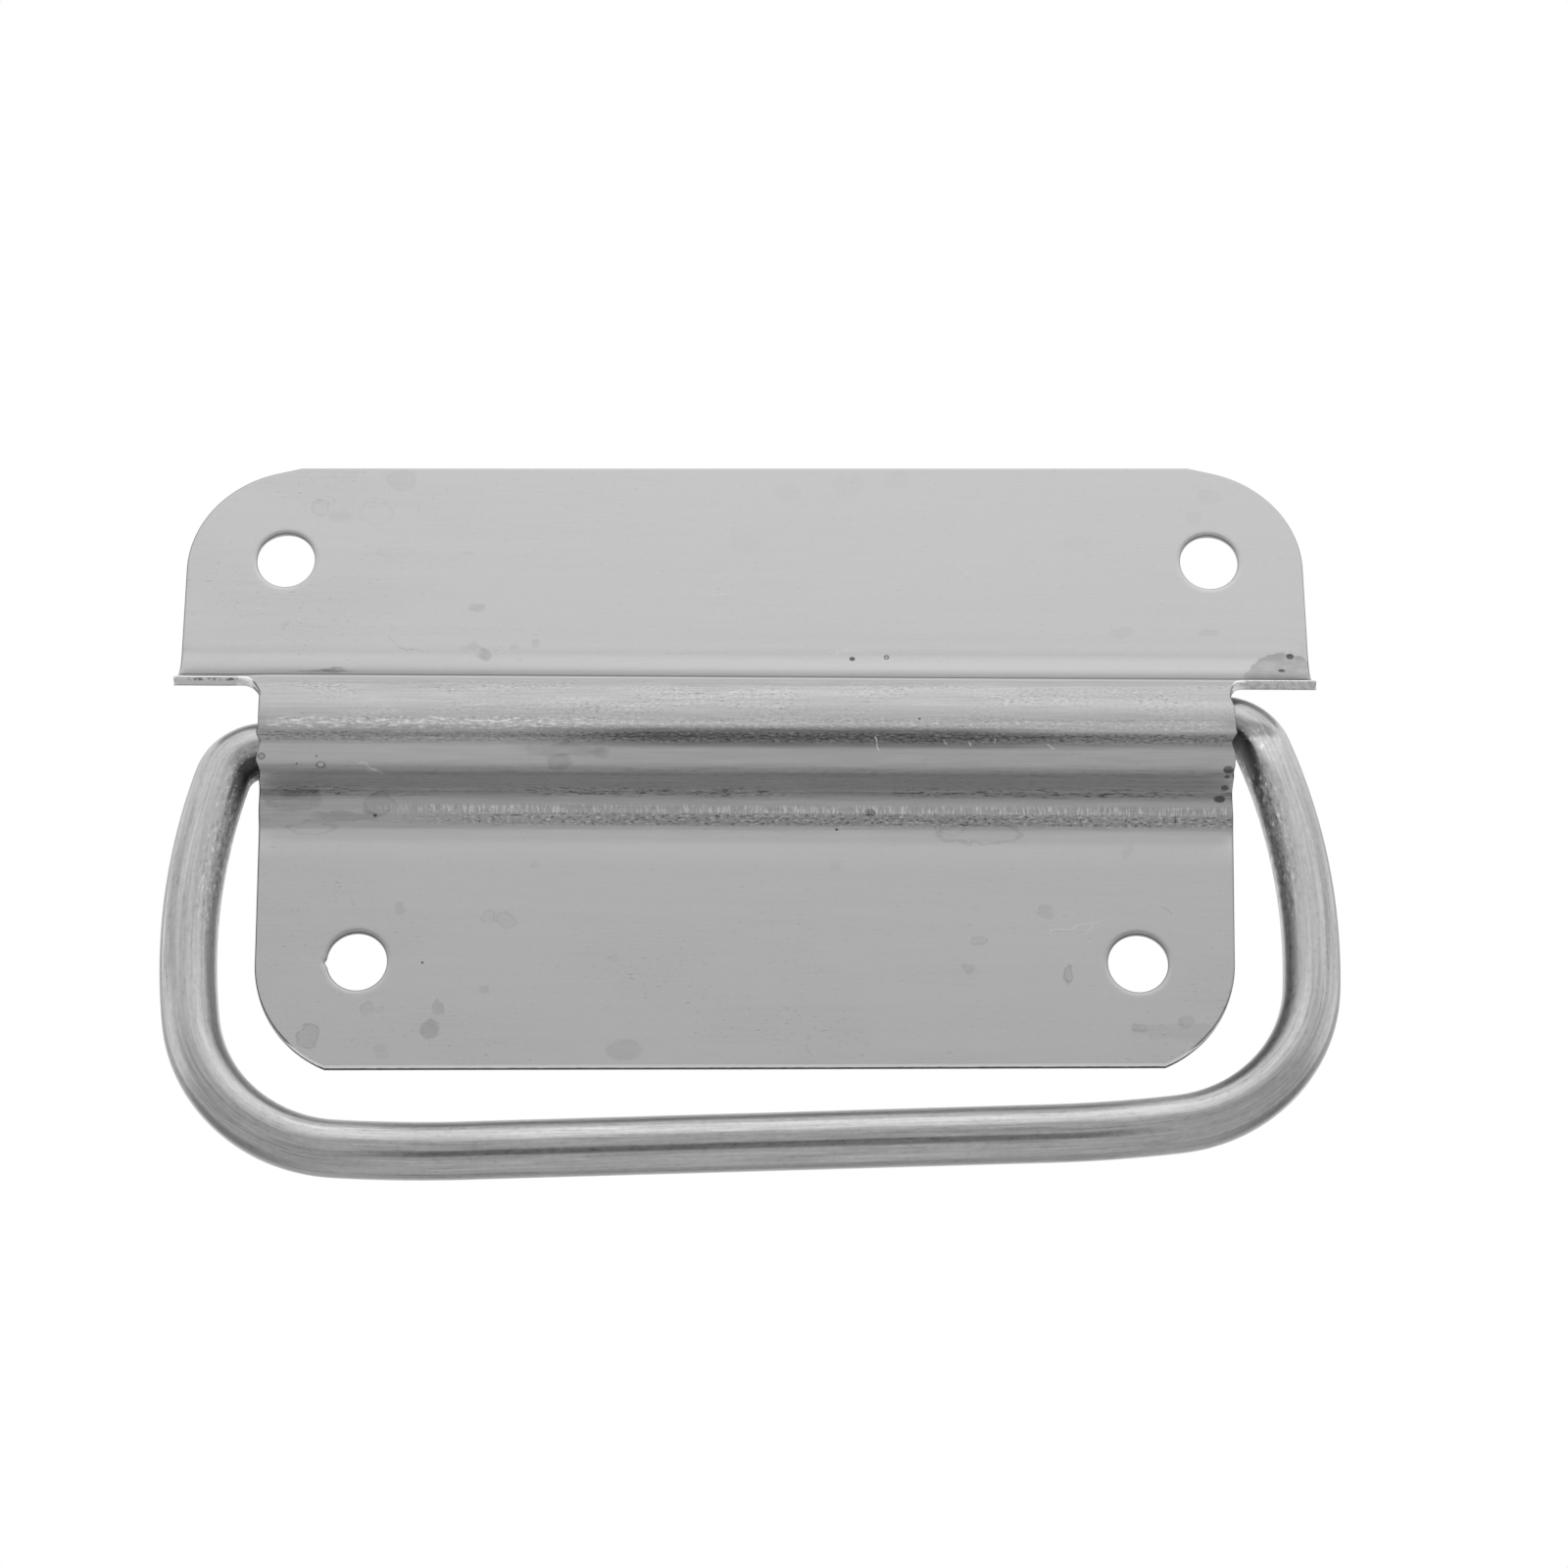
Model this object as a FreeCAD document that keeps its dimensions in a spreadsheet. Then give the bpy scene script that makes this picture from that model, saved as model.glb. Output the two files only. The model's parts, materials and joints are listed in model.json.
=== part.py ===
import FreeCAD, Part
import Sketcher
import math
import os
from FreeCAD import Placement, Rotation, Vector

# Chest handle: a one-piece pressed steel backplate and a bent wire bail.
# Frame: X to the right, Z up, the wall is the plane Y = 0 and the viewer is at -Y.
# Origin: midway between the two upper screw holes, on the plate's back face.
# Lengths are in millimetres and angles in degrees.

DRIVING_SIZES = [
    ("sheet_thickness", 0.9, "thickness of the steel sheet"),
    ("plate_width", 105.0, "width of the upper flange and of the stop wings"),
    ("barrel_width", 89.5, "width of the hollow barrel"),
    ("foot_width", 88.6, "width of the lower flange at its corner arcs"),
    ("top_margin", 10.1, "upper screw holes to the top edge"),
    ("foot_margin", 10.3, "lower screw holes to the bottom edge"),
    ("row_distance", 41.6, "upper screw row to the lower screw row"),
    ("upper_spacing", 86.9, "centre distance of the upper screw holes"),
    ("lower_spacing", 70.5, "centre distance of the lower screw holes"),
    ("hole_diameter", 5.5, "screw hole"),
    ("top_corner_radius", 10.7, "corner arcs of the upper flange"),
    ("top_corner_depth", 10.95, "top edge to the centres of the upper arcs"),
    ("top_corner_slope", 14.0, "slope of the short straight that ends each upper arc"),
    ("foot_corner_radius", 11.2, "corner arcs of the lower flange"),
    ("foot_corner_depth", 10.0, "bottom edge to the centres of the lower arcs"),
    ("root_drop", 9.75, "upper screw row to the start of the root bend"),
    ("root_radius", 4.1, "hollow bend from the upper flange into the ledge"),
    ("ledge_lean", 61.7, "lean of the ledge from the wall"),
    ("wing_reach", 5.5, "wall to the free edge of the stop wings"),
    ("wing_corner_radius", 2.3, "inner corner between wing and barrel"),
    ("barrel_height", 7.5, "wall to the crest of the barrel"),
    ("brow_radius", 3.3, "bend from the ledge into the crown"),
    ("crown_top_lean", 12.0, "lean of the sheet where the crown starts"),
    ("crown_top_flat", 0.3, "straight between brow and crown"),
    ("crown_radius", 9.0, "shallow outward curve of the crown"),
    ("crown_end_lean", -8.0, "lean of the sheet where the crown ends"),
    ("crown_end_flat", 0.4, "straight below the crown"),
    ("press_radius", 1.2, "outward bends of the two pressed steps"),
    ("hollow_radius", 0.6, "hollow bends of the pressed steps"),
    ("upper_step_lean", -60.0, "lean of the step under the crown"),
    ("upper_step_flat", 0.2, "straight of the step under the crown"),
    ("shelf_lean", -14.0, "lean of the two shallow bands"),
    ("upper_shelf_flat", 1.76, "straight of the band between the steps"),
    ("keel_radius", 1.3, "bend from the upper band into the underside"),
    ("underside_lean", -80.0, "lean of the barrel's underside"),
    ("lower_shelf_flat", 1.24, "straight of the band below the underside"),
    ("lower_step_lean", -62.0, "lean of the last step down to the wall"),
    ("lower_step_flat", 0.2, "straight of the last step"),
    ("foot_bend_radius", 0.8, "hollow bend into the lower flange"),
    ("wire_diameter", 5.2, "round wire of the bail"),
    ("wall_clearance", 0.05, "wall to the back of the wire"),
    ("pivot_drop", 19.7, "upper screw row to the axis of the wire ends"),
    ("bail_drop", 40.25, "axis of the wire ends to the middle of the hand bar"),
    ("bail_skew", 1.8, "turn of the bail in its loose barrel, left side down"),
    ("bail_shift", -0.2, "sideways play of the bail in its barrel"),
    ("stub_length", 14.0, "straight wire inside each end of the barrel"),
    ("bend_inset", 0.85, "end of the barrel to the start of the shoulder bend"),
    ("shoulder_radius", 4.0, "tight bend where the wire leaves the barrel"),
    ("shoulder_turn", 72.5, "turn of the shoulder bend"),
    ("leg_turn", 23.7, "turn of the long curve of each leg"),
    ("corner_radius", 14.2, "bend between leg and hand bar"),
    ("corner_turn", 78.5, "turn of the bend between leg and hand bar"),
    ("bar_end_radius", 125.0, "slow curve into the straight hand bar"),
]

START, END, CENTRE = 1, 2, 3          # the named points of a sketch element
ORIGIN_POINT = (-1, 1)                # the sketch's own origin
MARGIN = 2.0                          # how far a cutter stands out past the sheet


def make_sheet(doc):
    """Spreadsheet of the driving sizes, one alias a row."""
    sheet = doc.addObject("Spreadsheet::Sheet", "sizes")
    for row, (alias, value, note) in enumerate(DRIVING_SIZES, start=1):
        sheet.set("A%d" % row, note)
        sheet.set("B%d" % row, str(value))
        sheet.setAlias("B%d" % row, alias)
    doc.recompute()
    return sheet


def sine(degrees):
    return math.sin(math.radians(degrees))


def cosine(degrees):
    return math.cos(math.radians(degrees))


# Sketches

def origin_plane(body, role):
    """One of the body's own origin planes."""
    return next(feature for feature in body.Origin.OriginFeatures if feature.Role == role)


def new_sketch(body, name, role):
    """Empty sketch on an origin plane of the body."""
    sketch = body.newObject("Sketcher::SketchObject", name)
    sketch.AttachmentSupport = [(origin_plane(body, role), "")]
    sketch.MapMode = "FlatFace"
    return sketch


def bind(sketch, name, expression, constraint):
    """Adds a constraint under a name and ties its value to the sheet."""
    index = sketch.addConstraint(constraint)
    sketch.renameConstraint(index, name)
    sketch.setExpression("Constraints." + name, expression)


def place(sketch, name, element, where, point, x_from=None, y_from=None):
    """Ties a point's place in its sketch to the sheet; a way with no expression stays free."""
    for axis, value, expression in (("X", point.x, x_from), ("Y", point.y, y_from)):
        if expression:
            bind(sketch, name + "_" + axis.lower(), expression,
                 Sketcher.Constraint("Distance" + axis, *ORIGIN_POINT, element, where, value))


def add_line(sketch, start, end):
    return sketch.addGeometry(Part.LineSegment(start, end), False)


def add_arc(sketch, centre, radius, first, last):
    """Arc between two angles, in whichever order they come."""
    circle = Part.Circle(centre, Vector(0, 0, 1), radius)
    low, high = sorted((math.radians(first), math.radians(last)))
    return sketch.addGeometry(Part.ArcOfCircle(circle, low, high), False)


def tie(sketch, kind, *ends):
    sketch.addConstraint(Sketcher.Constraint(kind, *ends))


def direction(angle):
    """Unit vector at an angle from the sketch's x axis."""
    return Vector(cosine(angle), sine(angle), 0)


class Piece:
    """One line or arc of a trace, with the ends by which the trace runs through it."""

    def __init__(self, element, entry, leave, start, end):
        self.element = element
        self.entry = entry
        self.leave = leave
        self.start = start
        self.end = end


class Trace:
    """Tangent chain of lines and arcs, drawn from a point along a heading."""

    def __init__(self, sketch, label, point, heading):
        self.sketch = sketch
        self.label = label
        self.point = point
        self.heading = heading
        self.pieces = []

    def add(self, piece):
        """Joins a piece to the last one, tangent, and moves on to its end."""
        if self.pieces:
            last = self.pieces[-1]
            tie(self.sketch, "Tangent", last.element, last.leave, piece.element, piece.entry)
        self.pieces.append(piece)
        self.point = piece.end
        return piece

    def line(self, length, length_from=None, heading_from=None):
        """Straight; its length and heading are tied to the sheet where they are given."""
        end = self.point + direction(self.heading) * length
        element = add_line(self.sketch, self.point, end)
        name = "%s_%d" % (self.label, len(self.pieces))
        piece = self.add(Piece(element, START, END, self.point, end))
        if length_from:
            bind(self.sketch, name + "_length", length_from,
                 Sketcher.Constraint("Distance", element, length))
        if heading_from:
            bind(self.sketch, name + "_heading", heading_from,
                 Sketcher.Constraint("Angle", element, math.radians(self.heading)))
        return piece

    def arc(self, radius, turn, radius_from=None, turn_from=None):
        """Arc that turns the heading, to the left when the turn is positive."""
        side = math.copysign(1, turn)
        centre = self.point + direction(self.heading + side * 90) * radius
        first = self.heading - side * 90
        element = add_arc(self.sketch, centre, radius, first, first + turn)
        entry, leave = (START, END) if turn > 0 else (END, START)
        name = "%s_%d" % (self.label, len(self.pieces))
        end = centre + direction(first + turn) * radius
        piece = self.add(Piece(element, entry, leave, self.point, end))
        piece.centre, piece.radius, piece.turn, piece.first = centre, radius, turn, first
        piece.radius_from = radius_from
        self.heading += turn
        if radius_from:
            bind(self.sketch, name + "_radius", radius_from,
                 Sketcher.Constraint("Radius", element, radius))
        if turn_from:
            bind(self.sketch, name + "_turn", turn_from,
                 Sketcher.Constraint("Angle", element, math.radians(abs(turn))))
        return piece


def close_with_lines(sketch, trace, points):
    """Straight sides from the trace's end, through the points, back to its start."""
    first, last = trace.pieces[0], trace.pieces[-1]
    corners = [last.end] + points + [first.start]
    sides = [add_line(sketch, start, end) for start, end in zip(corners, corners[1:])]
    tie(sketch, "Coincident", last.element, last.leave, sides[0], START)
    for side, following in zip(sides, sides[1:]):
        tie(sketch, "Coincident", side, END, following, START)
    tie(sketch, "Coincident", sides[-1], END, first.element, first.entry)
    for side, start, end in zip(sides, corners, corners[1:]):
        tie(sketch, "Vertical" if abs(start.x - end.x) < abs(start.y - end.y) else "Horizontal", side)
    return sides


# Section of the pressed sheet

SECTION_STEPS = [
    # kind, size, lean of the sheet after a bend or along a straight
    ("bend", "root_radius", "ledge_lean"),
    ("flat", None, "ledge_lean"),
    ("bend", "brow_radius", "crown_top_lean"),
    ("flat", "crown_top_flat", "crown_top_lean"),
    ("bend", "crown_radius", "crown_end_lean"),
    ("flat", "crown_end_flat", "crown_end_lean"),
    ("bend", "press_radius", "upper_step_lean"),
    ("flat", "upper_step_flat", "upper_step_lean"),
    ("bend", "hollow_radius", "shelf_lean"),
    ("flat", "upper_shelf_flat", "shelf_lean"),
    ("bend", "keel_radius", "underside_lean"),
    ("flat", None, "underside_lean"),
    ("bend", "hollow_radius", "shelf_lean"),
    ("flat", "lower_shelf_flat", "shelf_lean"),
    ("bend", "press_radius", "lower_step_lean"),
    ("flat", "lower_step_flat", "lower_step_lean"),
    ("bend", "foot_bend_radius", None),
]


def rise(size, steps):
    """How far the sheet's front moves from the wall over some steps, free straights at zero."""
    height, lean = 0.0, 0.0
    for kind, value, lean_name in steps:
        new_lean = getattr(size, lean_name) if lean_name else 0.0
        length = getattr(size, value) if value else 0.0
        if kind == "bend":
            height += math.copysign(length, new_lean - lean) * (cosine(lean) - cosine(new_lean))
        else:
            height += length * sine(lean)
        lean = new_lean
    return height


def free_lengths(size):
    """Straights of the ledge and the underside, in the order of the steps.

    The ledge brings the crown's crest to the barrel's height, and the underside
    brings the lower flange back to the wall.
    """
    crest = rise(size, SECTION_STEPS[:4]) + size.crown_radius * (1 - cosine(size.crown_top_lean))
    ledge = (size.barrel_height - size.sheet_thickness - crest) / sine(size.ledge_lean)
    left_over = rise(size, SECTION_STEPS) + ledge * sine(size.ledge_lean)
    return ledge, left_over / -sine(size.underside_lean)


def draw_front(sketch, size):
    """Front line of the sheet, from the top edge down.

    A lean is the sheet's angle from the wall, positive where it runs outward.
    """
    trace = Trace(sketch, "front", Vector(-size.sheet_thickness, size.top_margin, 0), -90)
    flange = trace.line(size.top_margin + size.root_drop, "sizes.top_margin + sizes.root_drop")
    tie(sketch, "Vertical", flange.element)
    place(sketch, "top", flange.element, START, flange.start, "-sizes.sheet_thickness",
          "sizes.top_margin")
    lengths = iter(free_lengths(size))
    lean = 0.0
    for kind, value, lean_name in SECTION_STEPS:
        new_lean = getattr(size, lean_name) if lean_name else 0.0
        if kind == "flat":
            length = getattr(size, value) if value else next(lengths)
            trace.line(length, "sizes." + value if value else None, "-90 - sizes." + lean_name)
        else:
            bend = trace.arc(getattr(size, value), lean - new_lean, "sizes." + value)
            if value == "crown_radius":
                place(sketch, "crown", bend.element, CENTRE, bend.centre,
                      "sizes.crown_radius - sizes.barrel_height")
        lean = new_lean
    foot = trace.line(trace.point.y + size.row_distance + size.foot_margin)
    tie(sketch, "Vertical", foot.element)
    place(sketch, "foot", foot.element, END, foot.end, "-sizes.sheet_thickness",
          "-sizes.row_distance - sizes.foot_margin")
    return trace


def draw_back(sketch, size, front):
    """Back line, one thickness behind the front: every bend shares the front bend's centre."""
    behind = Vector(size.sheet_thickness, 0, 0)
    flange, foot = front.pieces[0], front.pieces[-1]
    lines, last_bend = [], None
    point = flange.start + behind
    for number, bend in enumerate(piece for piece in front.pieces if hasattr(piece, "centre")):
        outward = bend.turn > 0
        radius = bend.radius + (-1 if outward else 1) * size.sheet_thickness
        straight = add_line(sketch, point, bend.centre + direction(bend.first) * radius)
        arc = add_arc(sketch, bend.centre, radius, bend.first, bend.first + bend.turn)
        tie(sketch, "Coincident", arc, CENTRE, bend.element, CENTRE)
        bind(sketch, "back_%d_radius" % number,
             bend.radius_from + (" - " if outward else " + ") + "sizes.sheet_thickness",
             Sketcher.Constraint("Radius", arc, radius))
        if last_bend:
            tie(sketch, "Tangent", *last_bend, straight, START)
        tie(sketch, "Tangent", straight, END, arc, bend.entry)
        last_bend = (arc, bend.leave)
        point = bend.centre + direction(bend.first + bend.turn) * radius
        lines.append(straight)
    lines.append(add_line(sketch, point, foot.end + behind))
    tie(sketch, "Tangent", *last_bend, lines[-1], START)
    for piece, end, where, line in ((flange, flange.start, START, lines[0]),
                                    (foot, foot.end, END, lines[-1])):
        cut_edge = add_line(sketch, end, end + behind)
        tie(sketch, "Coincident", piece.element, where, cut_edge, START)
        tie(sketch, "Coincident", line, where, cut_edge, END)
        tie(sketch, "Horizontal", cut_edge)
        tie(sketch, "Vertical", line)


# Trims on the plate's right half

def wing_edge_height(size):
    """Place along Z of the wings' free edge, on the front of the ledge."""
    start = size.sheet_thickness + size.root_radius * (1 - cosine(size.ledge_lean))
    drop = (size.wing_reach - start) * cosine(size.ledge_lean) / sine(size.ledge_lean)
    return -size.root_drop - size.root_radius * sine(size.ledge_lean) - drop


def draw_wing_cut(body, size):
    """Strip beside the barrel, seen square to the ledge: it leaves the stop wing."""
    sketch = new_sketch(body, "wing_cut", "XZ_Plane")
    sketch.AttachmentOffset = Placement(Vector(0, wing_edge_height(size), size.wing_reach),
                                        Rotation(Vector(-1, 0, 0), size.ledge_lean))
    start_reach = "(sizes.sheet_thickness + sizes.root_radius * (1 - cos(sizes.ledge_lean)))"
    sketch.setExpression(
        "AttachmentOffset.Base.y",
        "-sizes.root_drop - sizes.root_radius * sin(sizes.ledge_lean)"
        " - (sizes.wing_reach - " + start_reach + ") / tan(sizes.ledge_lean)")
    sketch.setExpression("AttachmentOffset.Base.z", "sizes.wing_reach")
    sketch.setExpression("AttachmentOffset.Rotation.Angle", "sizes.ledge_lean")
    inner, outer = size.barrel_width / 2, size.plate_width / 2 + MARGIN
    depth = size.row_distance + size.foot_margin
    trace = Trace(sketch, "edge", Vector(outer, 0, 0), 180)
    free_edge = trace.line(outer - inner - size.wing_corner_radius)
    trace.arc(size.wing_corner_radius, 90, "sizes.wing_corner_radius")
    side = trace.line(depth - size.wing_corner_radius)
    tie(sketch, "Horizontal", free_edge.element)
    tie(sketch, "Vertical", side.element)
    place(sketch, "edge", free_edge.element, START, free_edge.start,
          "sizes.plate_width / 2 + %g" % MARGIN, "0")
    place(sketch, "side", side.element, END, side.end, "sizes.barrel_width / 2",
          "-sizes.row_distance - sizes.foot_margin")
    close_with_lines(sketch, trace, [Vector(outer, -depth, 0)])
    return sketch


def draw_top_corner(body, size):
    """Corner arc that runs out in a short straight and meets the top edge at a kink."""
    sketch = new_sketch(body, "top_corner", "XZ_Plane")
    side, top = size.plate_width / 2, size.top_margin
    centre_height = top - size.top_corner_depth
    trace = Trace(sketch, "corner", Vector(side, centre_height, 0), 90)
    arc = trace.arc(size.top_corner_radius, 90 - size.top_corner_slope,
                    "sizes.top_corner_radius", "90 - sizes.top_corner_slope")
    run_out = trace.line((top + MARGIN - trace.point.y) / sine(size.top_corner_slope))
    place(sketch, "arc", arc.element, START, arc.start, "sizes.plate_width / 2",
          "sizes.top_margin - sizes.top_corner_depth")
    place(sketch, "centre", arc.element, CENTRE, arc.centre, None,
          "sizes.top_margin - sizes.top_corner_depth")
    place(sketch, "run_out", run_out.element, END, run_out.end, None,
          "sizes.top_margin + %g" % MARGIN)
    sides = close_with_lines(sketch, trace, [Vector(side + MARGIN, top + MARGIN, 0),
                                             Vector(side + MARGIN, centre_height, 0)])
    place(sketch, "outside", sides[1], START, Vector(side + MARGIN, 0, 0),
          "sizes.plate_width / 2 + %g" % MARGIN)
    return sketch


def draw_foot_corner(body, size):
    """Slightly tapered side of the lower flange and its corner arc, cut off by the bottom edge."""
    sketch = new_sketch(body, "foot_corner", "XZ_Plane")
    foot = -size.row_distance - size.foot_margin
    low, outer = foot - MARGIN, size.plate_width / 2 + MARGIN
    start = Vector(size.barrel_width / 2, -size.pivot_drop, 0)
    centre = Vector(size.foot_width / 2 - size.foot_corner_radius, foot + size.foot_corner_depth, 0)
    reach = centre - start
    touch = math.degrees(math.asin(size.foot_corner_radius / reach.Length))
    heading = math.degrees(math.atan2(reach.y, reach.x)) + touch
    trace = Trace(sketch, "foot", start, heading)
    side = trace.line(reach.Length * cosine(touch))
    arc = trace.arc(size.foot_corner_radius, -180 - heading, "sizes.foot_corner_radius")
    place(sketch, "taper", side.element, START, start, "sizes.barrel_width / 2", "-sizes.pivot_drop")
    place(sketch, "centre", arc.element, CENTRE, arc.centre,
          "sizes.foot_width / 2 - sizes.foot_corner_radius",
          "sizes.foot_corner_depth - sizes.row_distance - sizes.foot_margin")
    tie(sketch, "Vertical", arc.element, CENTRE, arc.element, arc.leave)
    sides = close_with_lines(sketch, trace, [Vector(trace.point.x, low, 0), Vector(outer, low, 0),
                                             Vector(outer, start.y, 0)])
    place(sketch, "outside", sides[1], END, Vector(outer, low, 0),
          "sizes.plate_width / 2 + %g" % MARGIN,
          "-sizes.row_distance - sizes.foot_margin - %g" % MARGIN)
    return sketch


def draw_holes(body, size):
    """The right-hand screw hole of each row."""
    sketch = new_sketch(body, "screw_holes", "XZ_Plane")
    rows = (("upper", size.upper_spacing, 0, "0"),
            ("lower", size.lower_spacing, -size.row_distance, "-sizes.row_distance"))
    for row, spacing, height, height_from in rows:
        centre = Vector(spacing / 2, height, 0)
        circle = Part.Circle(centre, Vector(0, 0, 1), size.hole_diameter / 2)
        hole = sketch.addGeometry(circle, False)
        bind(sketch, row + "_diameter", "sizes.hole_diameter",
             Sketcher.Constraint("Diameter", hole, size.hole_diameter))
        place(sketch, row, hole, CENTRE, centre, "sizes.%s_spacing / 2" % row, height_from)
    return sketch


# Bodies

def mirror(body, name, features):
    """Repeats features on the other side of the middle plane."""
    mirrored = body.newObject("PartDesign::Mirrored", name)
    mirrored.Originals = features
    mirrored.MirrorPlane = (origin_plane(body, "YZ_Plane"), [""])
    body.Tip = mirrored
    body.Document.recompute()


def add_pocket(body, sketch):
    """Pocket through everything, both ways from its sketch."""
    before = body.Shape.Volume
    pocket = body.newObject("PartDesign::Pocket", sketch.Name + "_pocket")
    pocket.Profile = sketch
    pocket.SideType = "Symmetric"
    pocket.Type = "ThroughAll"
    body.Document.recompute()
    if not pocket.Shape.Volume < before:
        raise RuntimeError(pocket.Name + " cuts nothing")
    return pocket


def make_plate(doc, size):
    """Backplate: the section drawn out over the full width, then trimmed and pierced."""
    body = doc.addObject("PartDesign::Body", "plate")
    body.Label = "plate"
    section = new_sketch(body, "section", "YZ_Plane")
    draw_back(section, size, draw_front(section, size))
    doc.recompute()
    sheet = body.newObject("PartDesign::Pad", "pressed_sheet")
    sheet.Profile = section
    sheet.SideType = "Symmetric"
    sheet.setExpression("Length", "sizes.plate_width")
    doc.recompute()
    trims = []
    for draw in (draw_wing_cut, draw_top_corner, draw_foot_corner, draw_holes):
        sketch = draw(body, size)
        doc.recompute()
        trims.append(add_pocket(body, sketch))
    mirror(body, "left_half", trims)
    return body


def leg_radius(size, bar_end_turn):
    """Radius of the long leg curve that fills the bail's drop."""
    drop, turned = size.bail_drop, 0.0
    for radius, turn in ((size.bar_end_radius, bar_end_turn), (size.corner_radius, size.corner_turn)):
        drop -= radius * (cosine(turned) - cosine(turned + turn))
        turned += turn
    drop -= size.shoulder_radius * (1 + cosine(turned + size.leg_turn))
    return drop / (cosine(turned) - cosine(turned + size.leg_turn))


def draw_bail_route(body, size):
    """Right half of the wire's middle line, from the hand bar up to the cut end in the barrel.

    The sketch's origin is the middle of the wire ends' axis.
    """
    sketch = new_sketch(body, "route", "XZ_Plane")
    sketch.AttachmentOffset = Placement(Vector(0, 0, size.wall_clearance + size.wire_diameter / 2),
                                        Rotation())
    sketch.setExpression("AttachmentOffset.Base.z", "sizes.wall_clearance + sizes.wire_diameter / 2")
    bar_end_turn = 180 - size.corner_turn - size.leg_turn - size.shoulder_turn
    bends = (
        (size.bar_end_radius, bar_end_turn, "sizes.bar_end_radius", None),
        (size.corner_radius, size.corner_turn, "sizes.corner_radius", "sizes.corner_turn"),
        (leg_radius(size, bar_end_turn), size.leg_turn, None, "sizes.leg_turn"),
        (size.shoulder_radius, size.shoulder_turn, "sizes.shoulder_radius", "sizes.shoulder_turn"),
    )
    half_bar, turned = size.barrel_width / 2 - size.bend_inset, 0.0
    for radius, turn, _, _ in bends:
        half_bar -= radius * (sine(turned + turn) - sine(turned))
        turned += turn
    trace = Trace(sketch, "wire", Vector(0, -size.bail_drop, 0), 0)
    bar = trace.line(half_bar)
    for bend in bends:
        trace.arc(*bend)
    stub = trace.line(size.stub_length, "sizes.stub_length")
    tie(sketch, "Horizontal", bar.element)
    tie(sketch, "Horizontal", stub.element)
    place(sketch, "bar", bar.element, START, bar.start, "0", "-sizes.bail_drop")
    place(sketch, "shoulder", stub.element, START, stub.start,
          "sizes.barrel_width / 2 - sizes.bend_inset", "0")
    return sketch


def make_bail(doc, size):
    """Bail: round wire along its route, mirrored, and turned a little in the loose barrel."""
    body = doc.addObject("PartDesign::Body", "bail")
    body.Label = "bail"
    route = draw_bail_route(body, size)
    wire = new_sketch(body, "wire", "YZ_Plane")
    centre = Vector(-size.wall_clearance - size.wire_diameter / 2, -size.bail_drop, 0)
    circle = wire.addGeometry(Part.Circle(centre, Vector(0, 0, 1), size.wire_diameter / 2), False)
    bind(wire, "diameter", "sizes.wire_diameter",
         Sketcher.Constraint("Diameter", circle, size.wire_diameter))
    place(wire, "middle", circle, CENTRE, centre, "-sizes.wall_clearance - sizes.wire_diameter / 2",
          "-sizes.bail_drop")
    doc.recompute()
    pipe = body.newObject("PartDesign::AdditivePipe", "bent_wire")
    pipe.Profile = wire
    pipe.Spine = (route, [])
    doc.recompute()
    mirror(body, "left_half_of_wire", [pipe])
    body.Placement = Placement(Vector(size.bail_shift, 0, -size.pivot_drop),
                               Rotation(Vector(0, -1, 0), size.bail_skew))
    body.setExpression("Placement.Base.x", "sizes.bail_shift")
    body.setExpression("Placement.Base.z", "-sizes.pivot_drop")
    body.setExpression("Placement.Rotation.Angle", "sizes.bail_skew")
    doc.recompute()
    return body


def export(doc, bodies):
    """Writes one STEP file a body, once every object of the document is sound."""
    for thing in doc.Objects:
        if "Invalid" in thing.State or "Error" in thing.State:
            raise RuntimeError("%s: %s" % (thing.Name, thing.State))
    for body in bodies:
        if body.Shape.isNull() or not body.Shape.isValid() or len(body.Shape.Solids) != 1:
            raise RuntimeError(body.Label + " is not one sound solid")
    os.makedirs("parts", exist_ok=True)
    for body in bodies:
        body.Shape.exportStep("parts/%s.step" % body.Label)
        print(body.Label, "volume %.2f mm3" % body.Shape.Volume, body.Shape.BoundBox)


document = FreeCAD.newDocument("chest_handle")
sizes = make_sheet(document)
export(document, [make_plate(document, sizes), make_bail(document, sizes)])
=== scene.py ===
import json
import math

import bpy
import numpy as np
from mathutils import Matrix, Vector, noise
from mathutils.geometry import delaunay_2d_cdt


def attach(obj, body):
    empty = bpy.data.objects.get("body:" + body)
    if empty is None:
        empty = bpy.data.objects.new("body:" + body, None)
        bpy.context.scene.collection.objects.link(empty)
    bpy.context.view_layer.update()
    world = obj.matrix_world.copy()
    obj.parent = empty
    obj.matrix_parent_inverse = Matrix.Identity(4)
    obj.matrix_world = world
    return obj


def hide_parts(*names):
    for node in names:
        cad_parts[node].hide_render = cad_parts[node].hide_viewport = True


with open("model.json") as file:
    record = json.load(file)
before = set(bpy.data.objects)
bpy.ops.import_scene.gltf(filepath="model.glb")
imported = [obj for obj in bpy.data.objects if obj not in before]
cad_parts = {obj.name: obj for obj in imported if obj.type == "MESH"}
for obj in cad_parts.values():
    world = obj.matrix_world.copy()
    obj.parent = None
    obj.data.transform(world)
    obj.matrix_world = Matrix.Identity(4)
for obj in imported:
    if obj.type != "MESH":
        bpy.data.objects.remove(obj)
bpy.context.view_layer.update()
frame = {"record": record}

# Chest handle: pressed steel backplate and bent wire bail.
# Lengths are in millimetres until a mesh is made, angles in degrees.
# X to the right, Z up, the wall is the plane Y = 0 and the viewer is at -Y.
# Pairs that differ from side to side are kept under -1 for the left and 1 for the right.

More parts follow.
